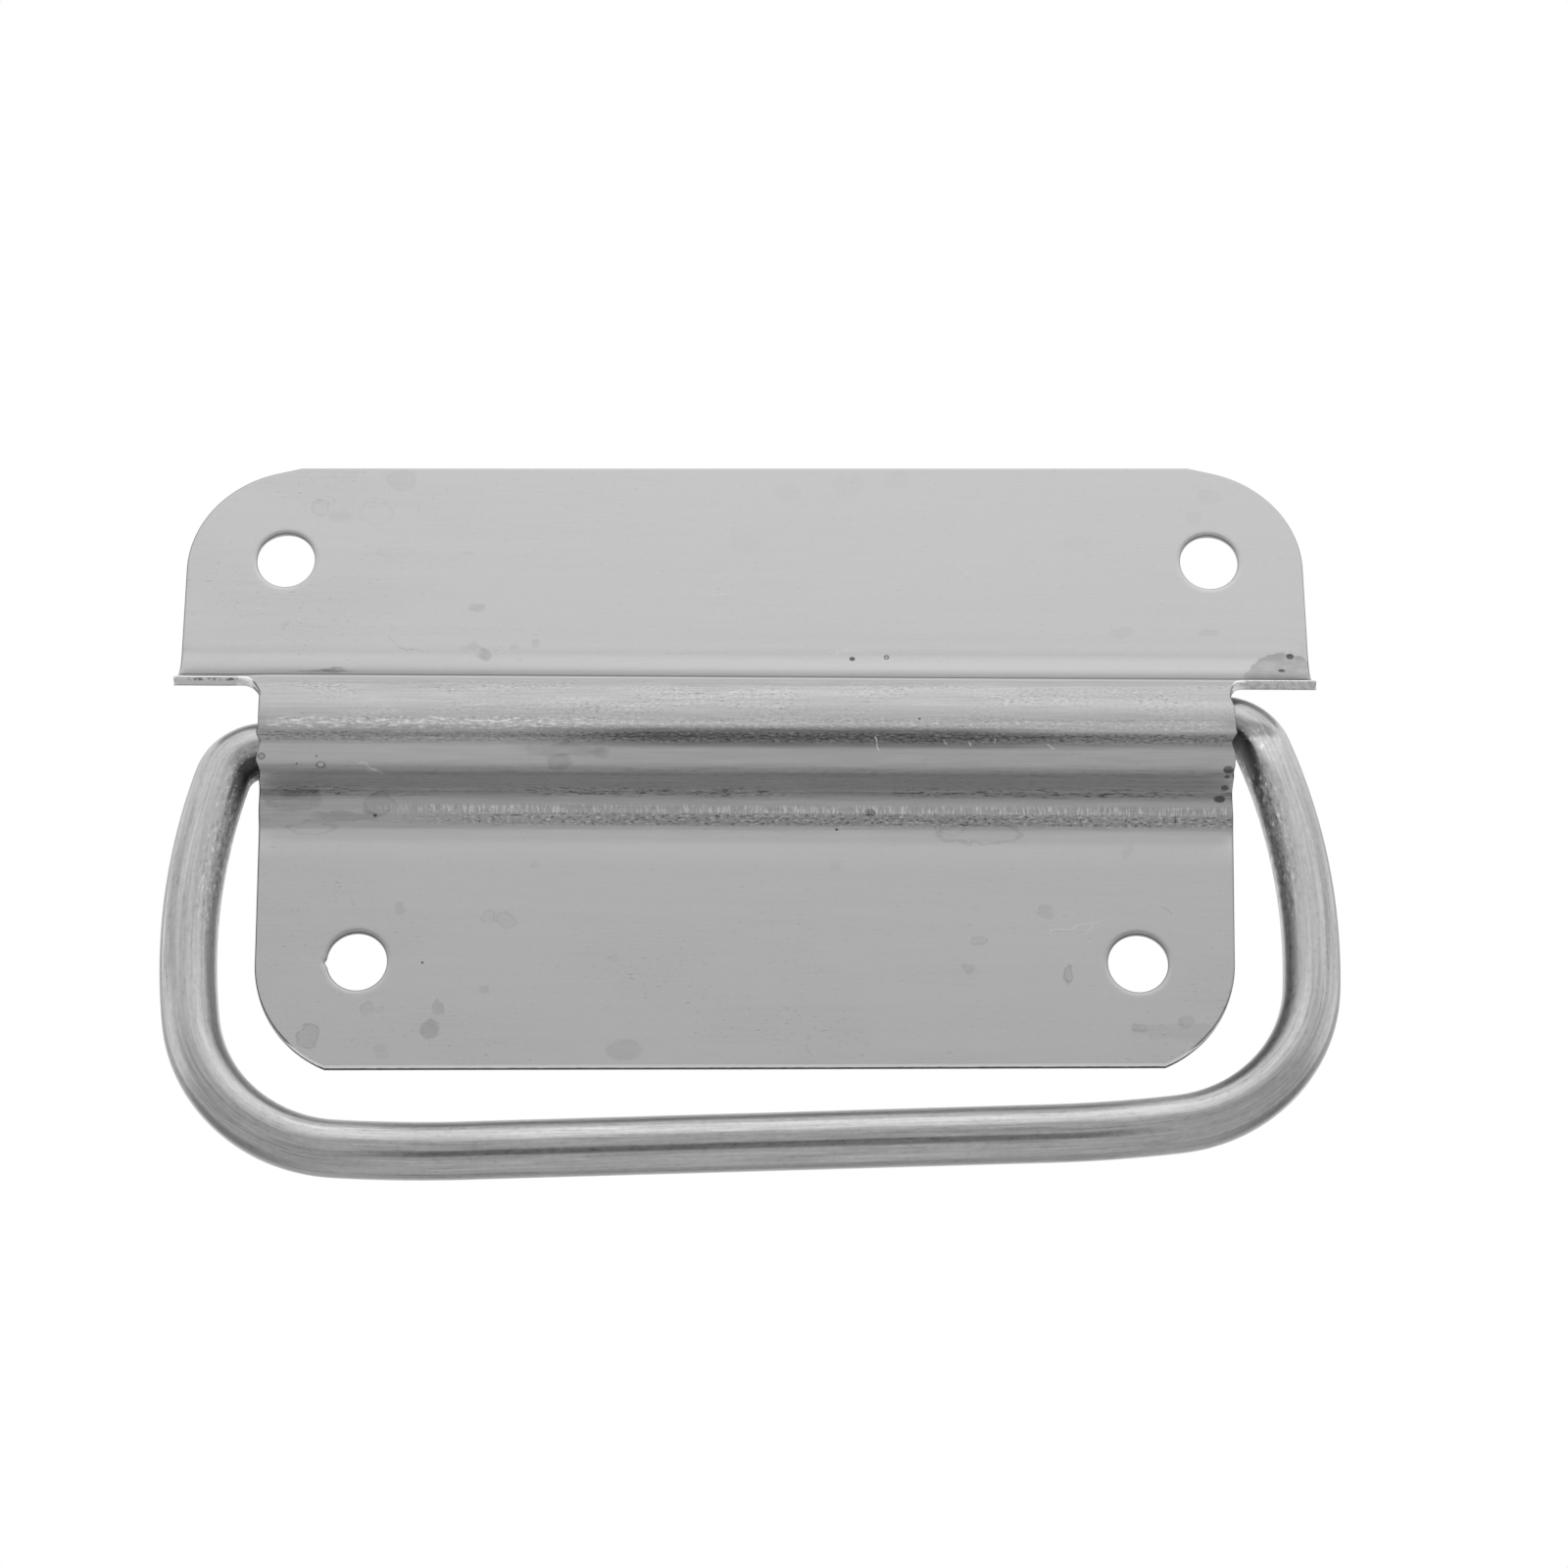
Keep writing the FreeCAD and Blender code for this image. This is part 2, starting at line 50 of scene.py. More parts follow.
MM = 0.001

# Backplate
SHEET = 0.9
PLATE_HALF = 52.5
TOP = 10.1
FOOT = -51.9
BARREL_HALF = 44.75
BARREL_HEIGHT = 7.5
FOOT_HALF = 44.22
TOP_ARC_RADIUS, TOP_ARC_DEPTH, TOP_ARC_SLOPE = 10.7, 10.95, 14.0
FOOT_ARC_RADIUS, FOOT_ARC_DEPTH = 11.2, 10.22
ROOT_DROP = 9.99
WING_REACH = 5.5
NOTCH_REACH = {-1: 2.5, 1: 1.8}
NOTCH_END, NOTCH_CHAMFER, NOTCH_STEPS = 30.75, {-1: 0.6, 1: 0.35}, 16
FOLD_SKEW = math.tan(math.radians(0.29))    # the folds run a little off square, lower on the right
ROOT_SKEW = math.tan(math.radians(0.09))    # the first fold more than the others
FOOT_LIFT = {-1: 0.0, 0: 0.08, 1: 0.2}      # the bottom edge is sheared a little off square

# Bail
WIRE = 5.2
WALL_CLEARANCE = 0.05
PIVOT_DROP = 19.7
BAIL_DROP = 40.25
BAIL_SKEW = 1.8
BAIL_SHIFT = -0.2
STUB = 14.0
BEND_INSET = 0.85
BAR_END_RADIUS, CORNER_RADIUS, CORNER_TURN = 125.0, 14.2, 78.5
LEG_TURN, SHOULDER_RADIUS, SHOULDER_TURN = 23.7, 4.0, 72.5


def sine(degrees):
    return math.sin(math.radians(degrees))


def cosine(degrees):
    return math.cos(math.radians(degrees))


def share_of(value, low=0.0, high=1.0):
    """How far a value lies from low to high, kept from nought to one."""
    return max(0.0, min(1.0, (value - low) / (high - low)))


def put(name, data):
    """New object in the scene."""
    piece = bpy.data.objects.new(name, data)
    bpy.context.scene.collection.objects.link(piece)
    return piece


# Node helpers

SOCKETS = {"value": "NodeSocketFloat", "count": "NodeSocketInt", "vector": "NodeSocketVector",
           "geometry": "NodeSocketGeometry"}


def new_group(name, kind, inputs, out_kind, outputs):
    """Empty node group: its graph, its entry's sockets and its exit's sockets."""
    tree = bpy.data.node_groups.new(name, kind)
    for label, socket, value in inputs:
        entry = tree.interface.new_socket(label, in_out="INPUT", socket_type=SOCKETS[socket])
        if value is not None:
            entry.default_value = value
    for label in outputs:
        tree.interface.new_socket(label, in_out="OUTPUT", socket_type=SOCKETS[out_kind])
    graph = Graph(tree)
    return graph, graph.add("NodeGroupInput").outputs, graph.add("NodeGroupOutput").inputs


def shader_group(name, inputs, outputs):
    """Empty shader node group that puts out single values."""
    return new_group(name, "ShaderNodeTree", inputs, "value", outputs)


class Graph:
    """Short calls for building the nodes of one tree."""

    def __init__(self, tree):
        self.tree = tree

    def add(self, kind, **settings):
        node = self.tree.nodes.new(kind)
        for name, value in settings.items():
            setattr(node, name, value)
        return node

    def feed(self, socket, value):
        """Link a socket to a socket, or give it a plain value."""
        if isinstance(value, bpy.types.NodeSocket):
            self.tree.links.new(value, socket)
        else:
            socket.default_value = value

    def place(self, kind, settings={}, **values):
        """Add a node, set it up and feed its named inputs."""
        node = self.add(kind, **settings)
        for name, value in values.items():
            self.feed(node.inputs[name.replace("_", " ")], value)
        return node.outputs

    def in_turn(self, kind, values, **settings):
        """Add a node, set it up and feed its first inputs in their order."""
        node = self.add(kind, **settings)
        for socket, value in zip(node.inputs, values):
            self.feed(socket, value)
        return node.outputs

    def math(self, operation, *values, clamp=False):
        return self.in_turn("ShaderNodeMath", values, operation=operation, use_clamp=clamp)["Value"]

    def vector(self, operation, *values):
        name = "Value" if operation in ("LENGTH", "DOT_PRODUCT") else "Vector"
        return self.in_turn("ShaderNodeVectorMath", values, operation=operation)[name]

    def parts(self, vector):
        return self.in_turn("ShaderNodeSeparateXYZ", [vector])

    def whole(self, *values):
        return self.in_turn("ShaderNodeCombineXYZ", values)["Vector"]

    def attribute(self, name, output="Fac"):
        return self.add("ShaderNodeAttribute", attribute_name=name).outputs[output]

    def span(self, value, low, high, to_low=0.0, to_high=1.0):
        """Smooth step of a value between two limits."""
        return self.in_turn("ShaderNodeMapRange", (value, low, high, to_low, to_high),
                            interpolation_type="SMOOTHSTEP")["Result"]

    def band(self, value, low, high, soft):
        """One between two limits, nought outside, with soft sides."""
        return self.times(self.span(value, low - soft, low + soft),
                          self.span(value, high + soft, high - soft))

    def noise(self, place, stretch, detail=2.0, roughness=0.5):
        place = self.vector("MULTIPLY", place, stretch)
        return self.place("ShaderNodeTexNoise", Vector=place, Scale=1.0, Detail=detail,
                          Roughness=roughness)["Fac"]

    def times(self, first, *others):
        for other in others:
            first = self.math("MULTIPLY", first, other)
        return first

    def sum(self, terms):
        """Total of terms, each one or more masks and then their weight."""
        total = None
        for *masks, weight in terms:
            mask = self.times(*masks)
            total = (self.math("MULTIPLY", mask, weight) if total is None
                     else self.math("MULTIPLY_ADD", mask, weight, total))
        return total

    def use(self, group, **values):
        """Place a shared shader group and feed its named inputs."""
        node = self.add("ShaderNodeGroup", node_tree=GROUPS[group])
        for name, value in values.items():
            self.feed(node.inputs[name.replace("_", " ").title()], value)
        return node.outputs


# Section of the pressed sheet

LEDGE_LEAN, CROWN_TOP_LEAN, CROWN_END_LEAN = 61.7, 12.0, -8.0
UPPER_STEP_LEAN, SHELF_LEAN, UNDERSIDE_LEAN, LOWER_STEP_LEAN = -60.0, -14.0, -80.0, -62.0
CROWN_RADIUS, PRESS_RADIUS, HOLLOW_RADIUS = 8.3, 1.2, 0.6

SECTION = [
    # kind, radius or length, lean of the sheet after a bend or along a straight
    ["flat", TOP + ROOT_DROP, 0.0],
    ["bend", 4.1, LEDGE_LEAN],
    ["ledge", 0.0, LEDGE_LEAN],
    ["bend", 3.3, CROWN_TOP_LEAN],
    ["flat", 0.3, CROWN_TOP_LEAN],
    ["bend", CROWN_RADIUS, CROWN_END_LEAN],
    ["flat", 0.4, CROWN_END_LEAN],
    ["bend", PRESS_RADIUS, UPPER_STEP_LEAN],
    ["flat", 0.2, UPPER_STEP_LEAN],
    ["bend", HOLLOW_RADIUS, SHELF_LEAN],
    ["flat", 1.76, SHELF_LEAN],
    ["bend", 1.3, UNDERSIDE_LEAN],
    ["underside", 0.0, UNDERSIDE_LEAN],
    ["bend", HOLLOW_RADIUS, SHELF_LEAN],
    ["flat", 1.24, SHELF_LEAN],
    ["bend", PRESS_RADIUS, LOWER_STEP_LEAN],
    ["flat", 0.2, LOWER_STEP_LEAN],
    ["bend", 0.8, 0.0],
    ["foot", 0.0, 0.0],
]


class Section:
    """Front line of the sheet from the top edge down, as a function of the length along it."""

    def __init__(self):
        steps = [list(step) for step in SECTION]
        crest = self.rise(steps[:5]) + CROWN_RADIUS * (1 - cosine(CROWN_TOP_LEAN))
        steps[2][1] = (BARREL_HEIGHT - SHEET - crest) / sine(LEDGE_LEAN)
        steps[12][1] = self.rise(steps) / -sine(UNDERSIDE_LEAN)
        self.pieces = []
        height, z, lean, along = SHEET, TOP, 0.0, 0.0
        for kind, size, new_lean in steps:
            if kind == "foot":
                size = z - FOOT
            bend = kind == "bend"
            length = size * math.radians(abs(new_lean - lean)) if bend else size
            self.pieces.append((along, length, height, z, lean, new_lean, size if bend else 0.0))
            height, z, lean = self.follow(self.pieces[-1], along + length)
            along += length
        self.length = along

    @staticmethod
    def rise(steps):
        """How far the front moves from the wall over some steps."""
        height, lean = 0.0, 0.0
        for kind, size, new_lean in steps:
            if kind == "bend":
                height += math.copysign(size, new_lean - lean) * (cosine(lean) - cosine(new_lean))
            else:
                height += size * sine(lean)
            lean = new_lean
        return height

    @staticmethod
    def follow(piece, along):
        """Height off the wall, Z and lean at a length along one piece."""
        start, length, height, z, lean, new_lean, radius = piece
        if not radius:
            run = along - start
            return height + run * sine(new_lean), z - run * cosine(new_lean), new_lean
        angle = lean + (new_lean - lean) * (along - start) / length
        side = math.copysign(radius, new_lean - lean)
        return (height + side * (cosine(lean) - cosine(angle)),
                z - side * (sine(angle) - sine(lean)), angle)

    def at(self, along):
        piece = next((p for p in self.pieces if along <= p[0] + p[1]), self.pieces[-1])
        return self.follow(piece, along)

    def along_at(self, z):
        """Length along the front of a height on one of the two flanges."""
        return TOP - z if z > -ROOT_DROP else self.length - (z - FOOT)

    def stations(self, flat_step, bend_step):
        """Lengths at which the sheet gets a row of points."""
        rows = [0.0]
        for start, length, _, _, lean, new_lean, radius in self.pieces:
            step = bend_step / abs(new_lean - lean) * length if radius else flat_step
            count = max(1, math.ceil(length / step - 1e-6))
            rows += [start + length * k / count for k in range(1, count + 1)]
        return rows


section = Section()
LEDGE_START = section.pieces[2][0]
WING_EDGE = LEDGE_START + (WING_REACH - section.pieces[2][2]) / sine(LEDGE_LEAN)
CROWN_START = section.pieces[4][0]
FOOT_START = section.pieces[-1][0]


# Outline of the blank: X across, length along the section down

def arc_points(centre, radius, first, last, step=0.35):
    count = max(4, math.ceil(math.radians(abs(last - first)) * radius / step))
    turns = [first + (last - first) * k / count for k in range(count + 1)]
    return [(centre[0] + radius * cosine(turn), centre[1] + radius * sine(turn)) for turn in turns]


def line_points(start, end, step=0.5):
    count = max(1, math.ceil(math.dist(start, end) / step))
    return [(start[0] + (end[0] - start[0]) * k / count, start[1] + (end[1] - start[1]) * k / count)
            for k in range(count + 1)]


def bump(value, centre, width):
    return math.exp(-((value - centre) / width) ** 2)


# The barrel's open ends are drawn in and out where the press formed them.
END_INSET = {1: 0.06, -1: 0.4}
END_BUMPS = {
    # row, width along the section, how far out
    1: [(40.5, 2.5, -0.14), (34.5, 0.35, 0.12), (35.5, 0.45, -0.26), (38.3, 0.5, -0.1),
        (30.8, 0.6, -0.34)],
    -1: [(44.0, 3.0, 0.14), (34.9, 0.5, 0.16), (35.75, 0.35, -0.2), (37.4, 0.55, 0.2),
         (38.8, 0.6, -0.08)],
}


def barrel_edge(side, along):
    """Half width of the barrel at a length along the section."""
    bumps = sum(out * bump(along, row, width) for row, width, out in END_BUMPS[side])
    return BARREL_HALF - END_INSET[side] + bumps


def blank_side(side, rows):
    """Edge of one half of the blank, from the middle of the top edge to the middle of the bottom.

    Rows are counted square to the folds, so what is cut square to the top edge runs askew here.
    """
    askew = side * FOLD_SKEW
    arc = arc_points((PLATE_HALF - TOP_ARC_RADIUS, TOP - TOP_ARC_DEPTH), TOP_ARC_RADIUS,
                     90 - TOP_ARC_SLOPE, 0)
    run = (TOP - arc[0][1]) / sine(TOP_ARC_SLOPE)
    kink = (arc[0][0] - run * cosine(TOP_ARC_SLOPE), TOP)
    flange = line_points((0.0, TOP), kink)[:-1] + line_points(kink, arc[0])[:-1] + arc
    flange += line_points(arc[-1], (PLATE_HALF, -ROOT_DROP))[1:]
    points = [(x, TOP - z - askew * x) for x, z in flange]
    points += [(PLATE_HALF, row) for row in rows if TOP + ROOT_DROP < row < WING_EDGE]

    reach, fall, chamfer = NOTCH_REACH[side], NOTCH_END - WING_EDGE, NOTCH_CHAMFER[side]
    corner = (barrel_edge(side, NOTCH_END) + reach, WING_EDGE)
    points += line_points((PLATE_HALF, WING_EDGE), corner)[:-1]
    for k in range(NOTCH_STEPS + 1):
        share = k / NOTCH_STEPS
        across, down = sine(90 * share), 1 - cosine(90 * share)
        points.append((corner[0] - reach * (across + chamfer * (share - across)),
                       WING_EDGE + fall * (down + chamfer * (share - down))))
    points += [(barrel_edge(side, row), row) for row in rows if NOTCH_END + 0.1 < row <= FOOT_START]

    centre = (FOOT_HALF - FOOT_ARC_RADIUS, FOOT + FOOT_LIFT[side] + FOOT_ARC_DEPTH)
    start = (barrel_edge(side, FOOT_START), section.at(FOOT_START)[1] - askew * BARREL_HALF)
    tilt = math.degrees(math.atan2(centre[1] - start[1], centre[0] - start[0]))
    touch = tilt + math.degrees(math.asin(FOOT_ARC_RADIUS / math.dist(start, centre))) + 90
    cut = -math.degrees(math.asin(FOOT_ARC_DEPTH / FOOT_ARC_RADIUS))
    arc = arc_points(centre, FOOT_ARC_RADIUS, touch, cut)
    flange = line_points(start, arc[0])[1:-1] + arc
    flange += line_points(arc[-1], (0.0, FOOT + FOOT_LIFT[0]))[1:]
    points += [(x, section.along_at(z) - askew * x) for x, z in flange]
    return [(side * x, along) for x, along in points]


def offset_loop(loop, distance):
    """Loop moved to its left by a distance, with its corners kept."""
    moved = []
    for k, here in enumerate(loop):
        before, after = Vector(loop[k - 1]), Vector(loop[(k + 1) % len(loop)])
        ahead = (after - Vector(here)).normalized()
        behind = (Vector(here) - before).normalized()
        normal = Vector((-(ahead.y + behind.y), ahead.x + behind.x)).normalized()
        spread = max(0.5, normal.dot(Vector((-ahead.y, ahead.x))))
        moved.append(tuple(Vector(here) + normal * distance / spread))
    return moved


def inside(points, loops):
    """Whether each point lies within the first loop and outside the others."""
    x, y = np.array(points, float).reshape(-1, 2).T
    crossings = np.zeros(len(x), int)
    for loop in loops:
        for (x0, y0), (x1, y1) in zip(loop, loop[1:] + loop[:1]):
            if y0 != y1:
                spans = (y0 > y) != (y1 > y)
                crossings += spans & (x < x0 + (y - y0) / (y1 - y0) * (x1 - x0))
    return crossings % 2 == 1


# Blemishes of the sheet, placed by X across and the row down the section
# Shades are shares of the bare tone, lighter above nought and darker below.

LAYERS = ("_near", "_next")
STAINS = [
    # across, row, half width, half height, shade of the fill, shade of the rim
    (-40.3, 4.6, 0.8, 0.8, -0.02, -0.07),
    (-38.4, 5.4, 1.2, 0.7, -0.04, 0.0),
    (-34.8, 5.2, 1.5, 1.3, 0.0, -0.035),
    (-32.6, 1.5, 1.35, 1.1, -0.035, -0.04),
    (-38.0, 0.9, 1.0, 0.4, 0.0, -0.03),
    (-39.2, 22.9, 2.6, 0.35, -0.2, 0.0),
    (-38.1, 22.6, 1.1, 0.5, -0.2, 0.0),
    (-33.0, 9.4, 1.5, 0.5, 0.0, -0.04),
    (-26.1, 9.5, 0.6, 0.25, -0.05, 0.0),
    (-25.2, 15.3, 0.8, 0.45, -0.1, 0.0),
    (-24.2, 20.3, 0.6, 0.7, -0.15, 0.0),
    (-25.4, 19.5, 1.0, 0.4, -0.07, 0.0),
    (-19.4, 19.0, 0.45, 0.35, -0.07, 0.0),
    (-21.5, 19.5, 0.35, 0.3, -0.06, 0.0),
    (-42.9, 17.1, 0.3, 0.3, -0.06, 0.0),
    (0.1, 8.3, 1.6, 1.0, -0.015, 0.0),
    (4.1, 2.7, 1.3, 1.1, -0.018, 0.0),
    (9.8, 1.8, 1.5, 1.2, -0.02, 0.0),
    (14.4, 1.2, 1.2, 1.0, -0.018, 0.0),
    (31.4, 8.0, 1.2, 0.8, -0.02, 0.0),
    (44.0, 2.9, 1.1, 0.8, -0.03, 0.0),
    (42.5, 5.3, 0.9, 0.6, -0.03, 0.0),
    (35.3, 17.6, 1.1, 0.6, -0.04, 0.0),
    (43.2, 17.6, 0.9, 0.35, -0.07, 0.0),
    (50.1, 24.0, 3.85, 4.15, -0.19, -0.09),
    (-16.4, 36.4, 3.7, 0.65, -0.12, 0.0),
    (-16.9, 37.5, 1.1, 0.9, -0.12, 0.0),
    (-13.2, 36.7, 0.9, 0.5, -0.1, 0.0),
    (-41.3, 42.0, 2.8, 1.3, -0.11, 0.0),
    (-36.5, 43.7, 3.2, 0.55, -0.12, 0.0),
    (-33.5, 42.5, 1.4, 1.1, -0.07, -0.1),
    (-39.6, 44.9, 2.1, 0.6, 0.0, -0.11),
    (21.5, 45.2, 3.7, 1.0, -0.03, -0.12),
    (18.8, 44.6, 1.3, 0.5, 0.0, -0.1),
    (-23.3, 53.8, 0.7, 0.5, -0.02, -0.07),
    (-21.6, 54.1, 0.8, 0.7, -0.03, -0.08),
    (-31.3, 53.0, 0.5, 0.6, -0.07, 0.0),
    (-19.2, 48.4, 0.4, 0.4, -0.06, 0.0),
    (-33.9, 63.0, 0.5, 0.5, -0.04, -0.06),
    (-32.7, 62.9, 0.35, 0.3, -0.03, -0.04),
    (-28.2, 65.0, 0.9, 1.0, -0.12, 0.0),
    (-27.5, 62.8, 0.45, 0.6, -0.1, -0.03),
    (-23.3, 61.0, 0.45, 0.4, -0.07, -0.03),
    (-39.1, 65.7, 1.0, 1.2, -0.07, -0.1),
    (-32.5, 67.2, 0.8, 0.7, -0.05, 0.0),
    (-10.9, 66.9, 1.6, 1.0, -0.07, 0.0),
    (-11.9, 57.8, 0.5, 0.5, -0.03, 0.0),
    (8.2, 48.5, 0.45, 0.6, -0.04, 0.0),
    (27.2, 53.0, 0.6, 0.65, -0.06, -0.04),
    (21.2, 56.0, 0.65, 0.45, -0.05, -0.07),
    (20.1, 58.6, 0.5, 0.45, -0.08, -0.03),
    (29.1, 59.3, 0.4, 0.85, -0.07, -0.12),
    (35.4, 64.5, 0.6, 0.5, -0.08, -0.06),
    (39.5, 63.9, 0.6, 0.55, -0.06, -0.05),
    (34.9, 47.0, 0.5, 0.8, -0.05, 0.0),
    (39.5, 64.9, 4.5, 0.7, -0.05, 0.0),
]
PITS = [
    # across, row, half width, half height, shade of the pit, shade of its rim
    (10.0, 20.6, 0.24, 0.2, -0.6, -0.1),
    (13.2, 20.4, 0.2, 0.2, -0.15, -0.4),
    (50.8, 20.1, 0.3, 0.25, -0.35, -0.2),
    (49.9, 21.8, 0.3, 0.2, -0.5, 0.0),
    (-44.0, 37.1, 0.3, 0.28, -0.2, -0.5),
    (-38.6, 37.9, 0.36, 0.28, 0.1, -0.5),
    (-39.0, 37.1, 0.11, 0.1, -0.5, 0.0),
    (-40.8, 37.8, 0.1, 0.1, -0.4, 0.0),
    (-33.8, 43.6, 0.15, 0.14, -0.8, 0.0),
    (15.9, 33.3, 0.12, 0.11, -0.6, 0.0),
    (8.4, 44.8, 0.14, 0.13, -0.7, 0.0),
    (11.5, 43.1, 0.45, 0.35, -0.4, 0.0),
    (44.0, 38.0, 0.45, 0.36, -0.45, -0.1),
    (43.9, 38.8, 0.25, 0.22, -0.4, 0.0),
    (43.8, 40.4, 0.35, 0.36, -0.45, 0.0),
    (43.4, 41.7, 0.5, 0.32, -0.45, 0.0),
    (-41.2, 41.6, 1.4, 0.3, -0.08, 0.0),
    (-29.1, 58.4, 0.11, 0.11, -0.5, 0.0),
]
SCRATCHES = [
    # start across and row, end across and row, width, shade
    (-4.4, 13.7, -1.8, 13.7, 0.09, 0.07),
    (-5.3, 13.4, -5.2, 20.3, 0.07, -0.03),
    (20.2, 10.6, 21.0, 11.6, 0.08, 0.08),
    (-41.5, 17.4, -20.7, 17.5, 0.08, -0.04),
    (-33.3, 18.3, -32.2, 19.6, 0.08, -0.1),
    (-32.2, 19.6, -30.0, 20.0, 0.08, -0.12),
    (7.6, 19.9, 10.3, 19.6, 0.07, 0.06),
    (10.4, 19.6, 12.8, 20.5, 0.07, 0.06),
    (-2.0, 31.0, -0.2, 30.2, 0.1, 0.14),
    (12.0, 35.1, 12.3, 36.2, 0.1, 0.7),
    (18.3, 35.3, 18.4, 35.8, 0.1, 0.6),
    (20.3, 35.4, 20.5, 35.8, 0.09, 0.6),
    (22.6, 35.2, 22.7, 35.7, 0.09, 0.5),
    (27.6, 35.5, 28.2, 36.1, 0.09, 0.6),
    (-34.8, 37.5, -33.0, 38.9, 0.1, 0.3),
    (-35.4, 37.3, -34.1, 38.4, 0.08, 0.2),
    (27.8, 55.1, 32.5, 53.9, 0.1, 0.09),
    (30.0, 55.6, 32.0, 54.0, 0.08, 0.06),
    (37.7, 52.3, 38.7, 53.1, 0.1, -0.12),
]


def lay_blemishes(mesh, places):
    """Write on each face the blemishes nearest to it, which its material then draws."""
    middles = np.array([places[list(polygon.vertices)].mean(axis=0) for polygon in mesh.polygons])
    for kind, rows in (("stain", STAINS), ("pit", PITS)):
        spots = np.array(rows)
        reach = np.abs(middles[:, None] - spots[:, :2]) / spots[:, 2:4]
        gaps = (np.hypot(reach[..., 0], reach[..., 1]) - 1) * spots[:, 2:4].min(axis=1)
        choose_nearest(mesh, gaps, {kind + "_centre": spots[:, [0, 1, 4]],
                                    kind + "_size": spots[:, [2, 3, 5]]})
    cuts = np.array(SCRATCHES)
    start, way = cuts[:, :2], cuts[:, 2:4] - cuts[:, :2]
    reach = middles[:, None] - start
    share = np.clip((reach * way).sum(axis=2) / (way ** 2).sum(axis=1), 0, 1)
    gaps = np.linalg.norm(reach - share[..., None] * way, axis=2)
    choose_nearest(mesh, gaps, {"scratch_start": cuts[:, [0, 1, 5]],
                                "scratch_end": cuts[:, [2, 3, 4]]})


def choose_nearest(mesh, gaps, values):
    order = np.argsort(gaps, axis=1)
    for place, layer in enumerate(LAYERS):
        for name, table in values.items():
            write_attribute(mesh, name + layer, "FACE", table[order[:, place]])


def write_attribute(mesh, name, domain, values):
    """Write an attribute of single values, or of three values where the table has three columns."""
    kind, field = ("FLOAT", "value") if values.ndim == 1 else ("FLOAT_VECTOR", "vector")
    attribute = mesh.attributes.new(name, kind, domain)
    attribute.data.foreach_set(field, values.astype(np.float32).ravel())


# Backplate mesh

PIERCE_SHIFT = 0.24    # the holes are pierced a little off the middle and off square
PIERCE_SKEW = 0.15
PIERCE_WEAR, PIERCE_STRETCH = -0.04, 0.15    # a little narrower than the punch, and taller
PIERCE_POINTS = 96
NICK_REACH, NICK_TURN, NICK_WIDTH = 0.22, -183.0, 5.0    # in the lower left hole
ROLL_DEPTH = 0.13
WING_DROOP = 0.19      # the left wing hangs a little lower than the right one
DROOP_ACROSS, DROOP_ROWS = (43.6, 47.5), (22.0, 26.5)
ROOT_ROW, ROOT_SPREAD = 25.0, 5.0    # where the first fold runs more askew
PRESSED_ROWS = (CROWN_START + 2.0, FOOT_START + 1.0)
SOFT_FROM = 36.4       # from here down the press has left the bends fuller
SOFT_REACH, SOFT_REACH_LOWER, SOFT_SPREAD = 0.9, 0.5, 2.6
SOFT_BLEND = 0.8       # how far the lower bends follow the softer section
END_BLEND, END_REACH = 0.65, 2.4    # how far the open ends do
WAVE_HEIGHT, WAVE_ACROSS, WAVE_DOWN, WAVE_SEED = 0.03, 31, 23, 3.7
UPPER_WAVE_END, LOWER_WAVE_START = 19.0, FOOT_START + 1.5    # the flanges are never quite flat
TEAR_BACK, TEAR_GRAIN, TEAR_FINE = 0.035, 0.03, 0.02
FLAT_STEP, BEND_STEP, COLUMN_STEP = 1.6, 6.5, 1.15    # of the inner points; degrees on a bend
COLUMN_HALF = 51.9
KEEP_OFF = 0.24        # clear band between the rim and the first inner points
SLIVER = 1e-4          # a triangle with less area than this only doubles an edge of the rim


def plate_holes():
    """Screw holes as loops of points in the blank, from the record's mounts."""
    loops = []
    for mount in frame["record"]["mounts"]:
        if mount["kind"] != "bolt_pattern":
            continue
        half, z = mount["dims"]["spacing_x_mm"] / 2, mount["pos_m"][2] / MM
        for side in (-1, 1):
            across = side * half + PIERCE_SHIFT
            along = section.along_at(z) + side * half * math.tan(math.radians(PIERCE_SKEW))
            nick = NICK_REACH if side < 0 and z < 0 else 0.0
            loop = []
            for k in range(PIERCE_POINTS):
                turn = -360 / PIERCE_POINTS * k
                radius = mount["dims"]["hole_r_mm"] + PIERCE_WEAR
                radius += nick * bump(turn, NICK_TURN, NICK_WIDTH)
                loop.append((across + radius * cosine(turn),
                             along + (radius + PIERCE_STRETCH) * sine(turn) - FOLD_SKEW * across))
            loops.append(loop)
    return loops


def soften(along):
    """Section smoothed by the sheet's own stiffness, as at the barrel's open ends."""
    reach = SOFT_REACH + SOFT_REACH_LOWER * share_of(along - SOFT_FROM)
    samples = [section.at(along + reach * k / 4) for k in range(-4, 5)]
    weights = [bump(k, 0, SOFT_SPREAD) for k in range(-4, 5)]
    total = sum(weights)
    return [sum(w * sample[i] for w, sample in zip(weights, samples)) / total for i in range(3)]


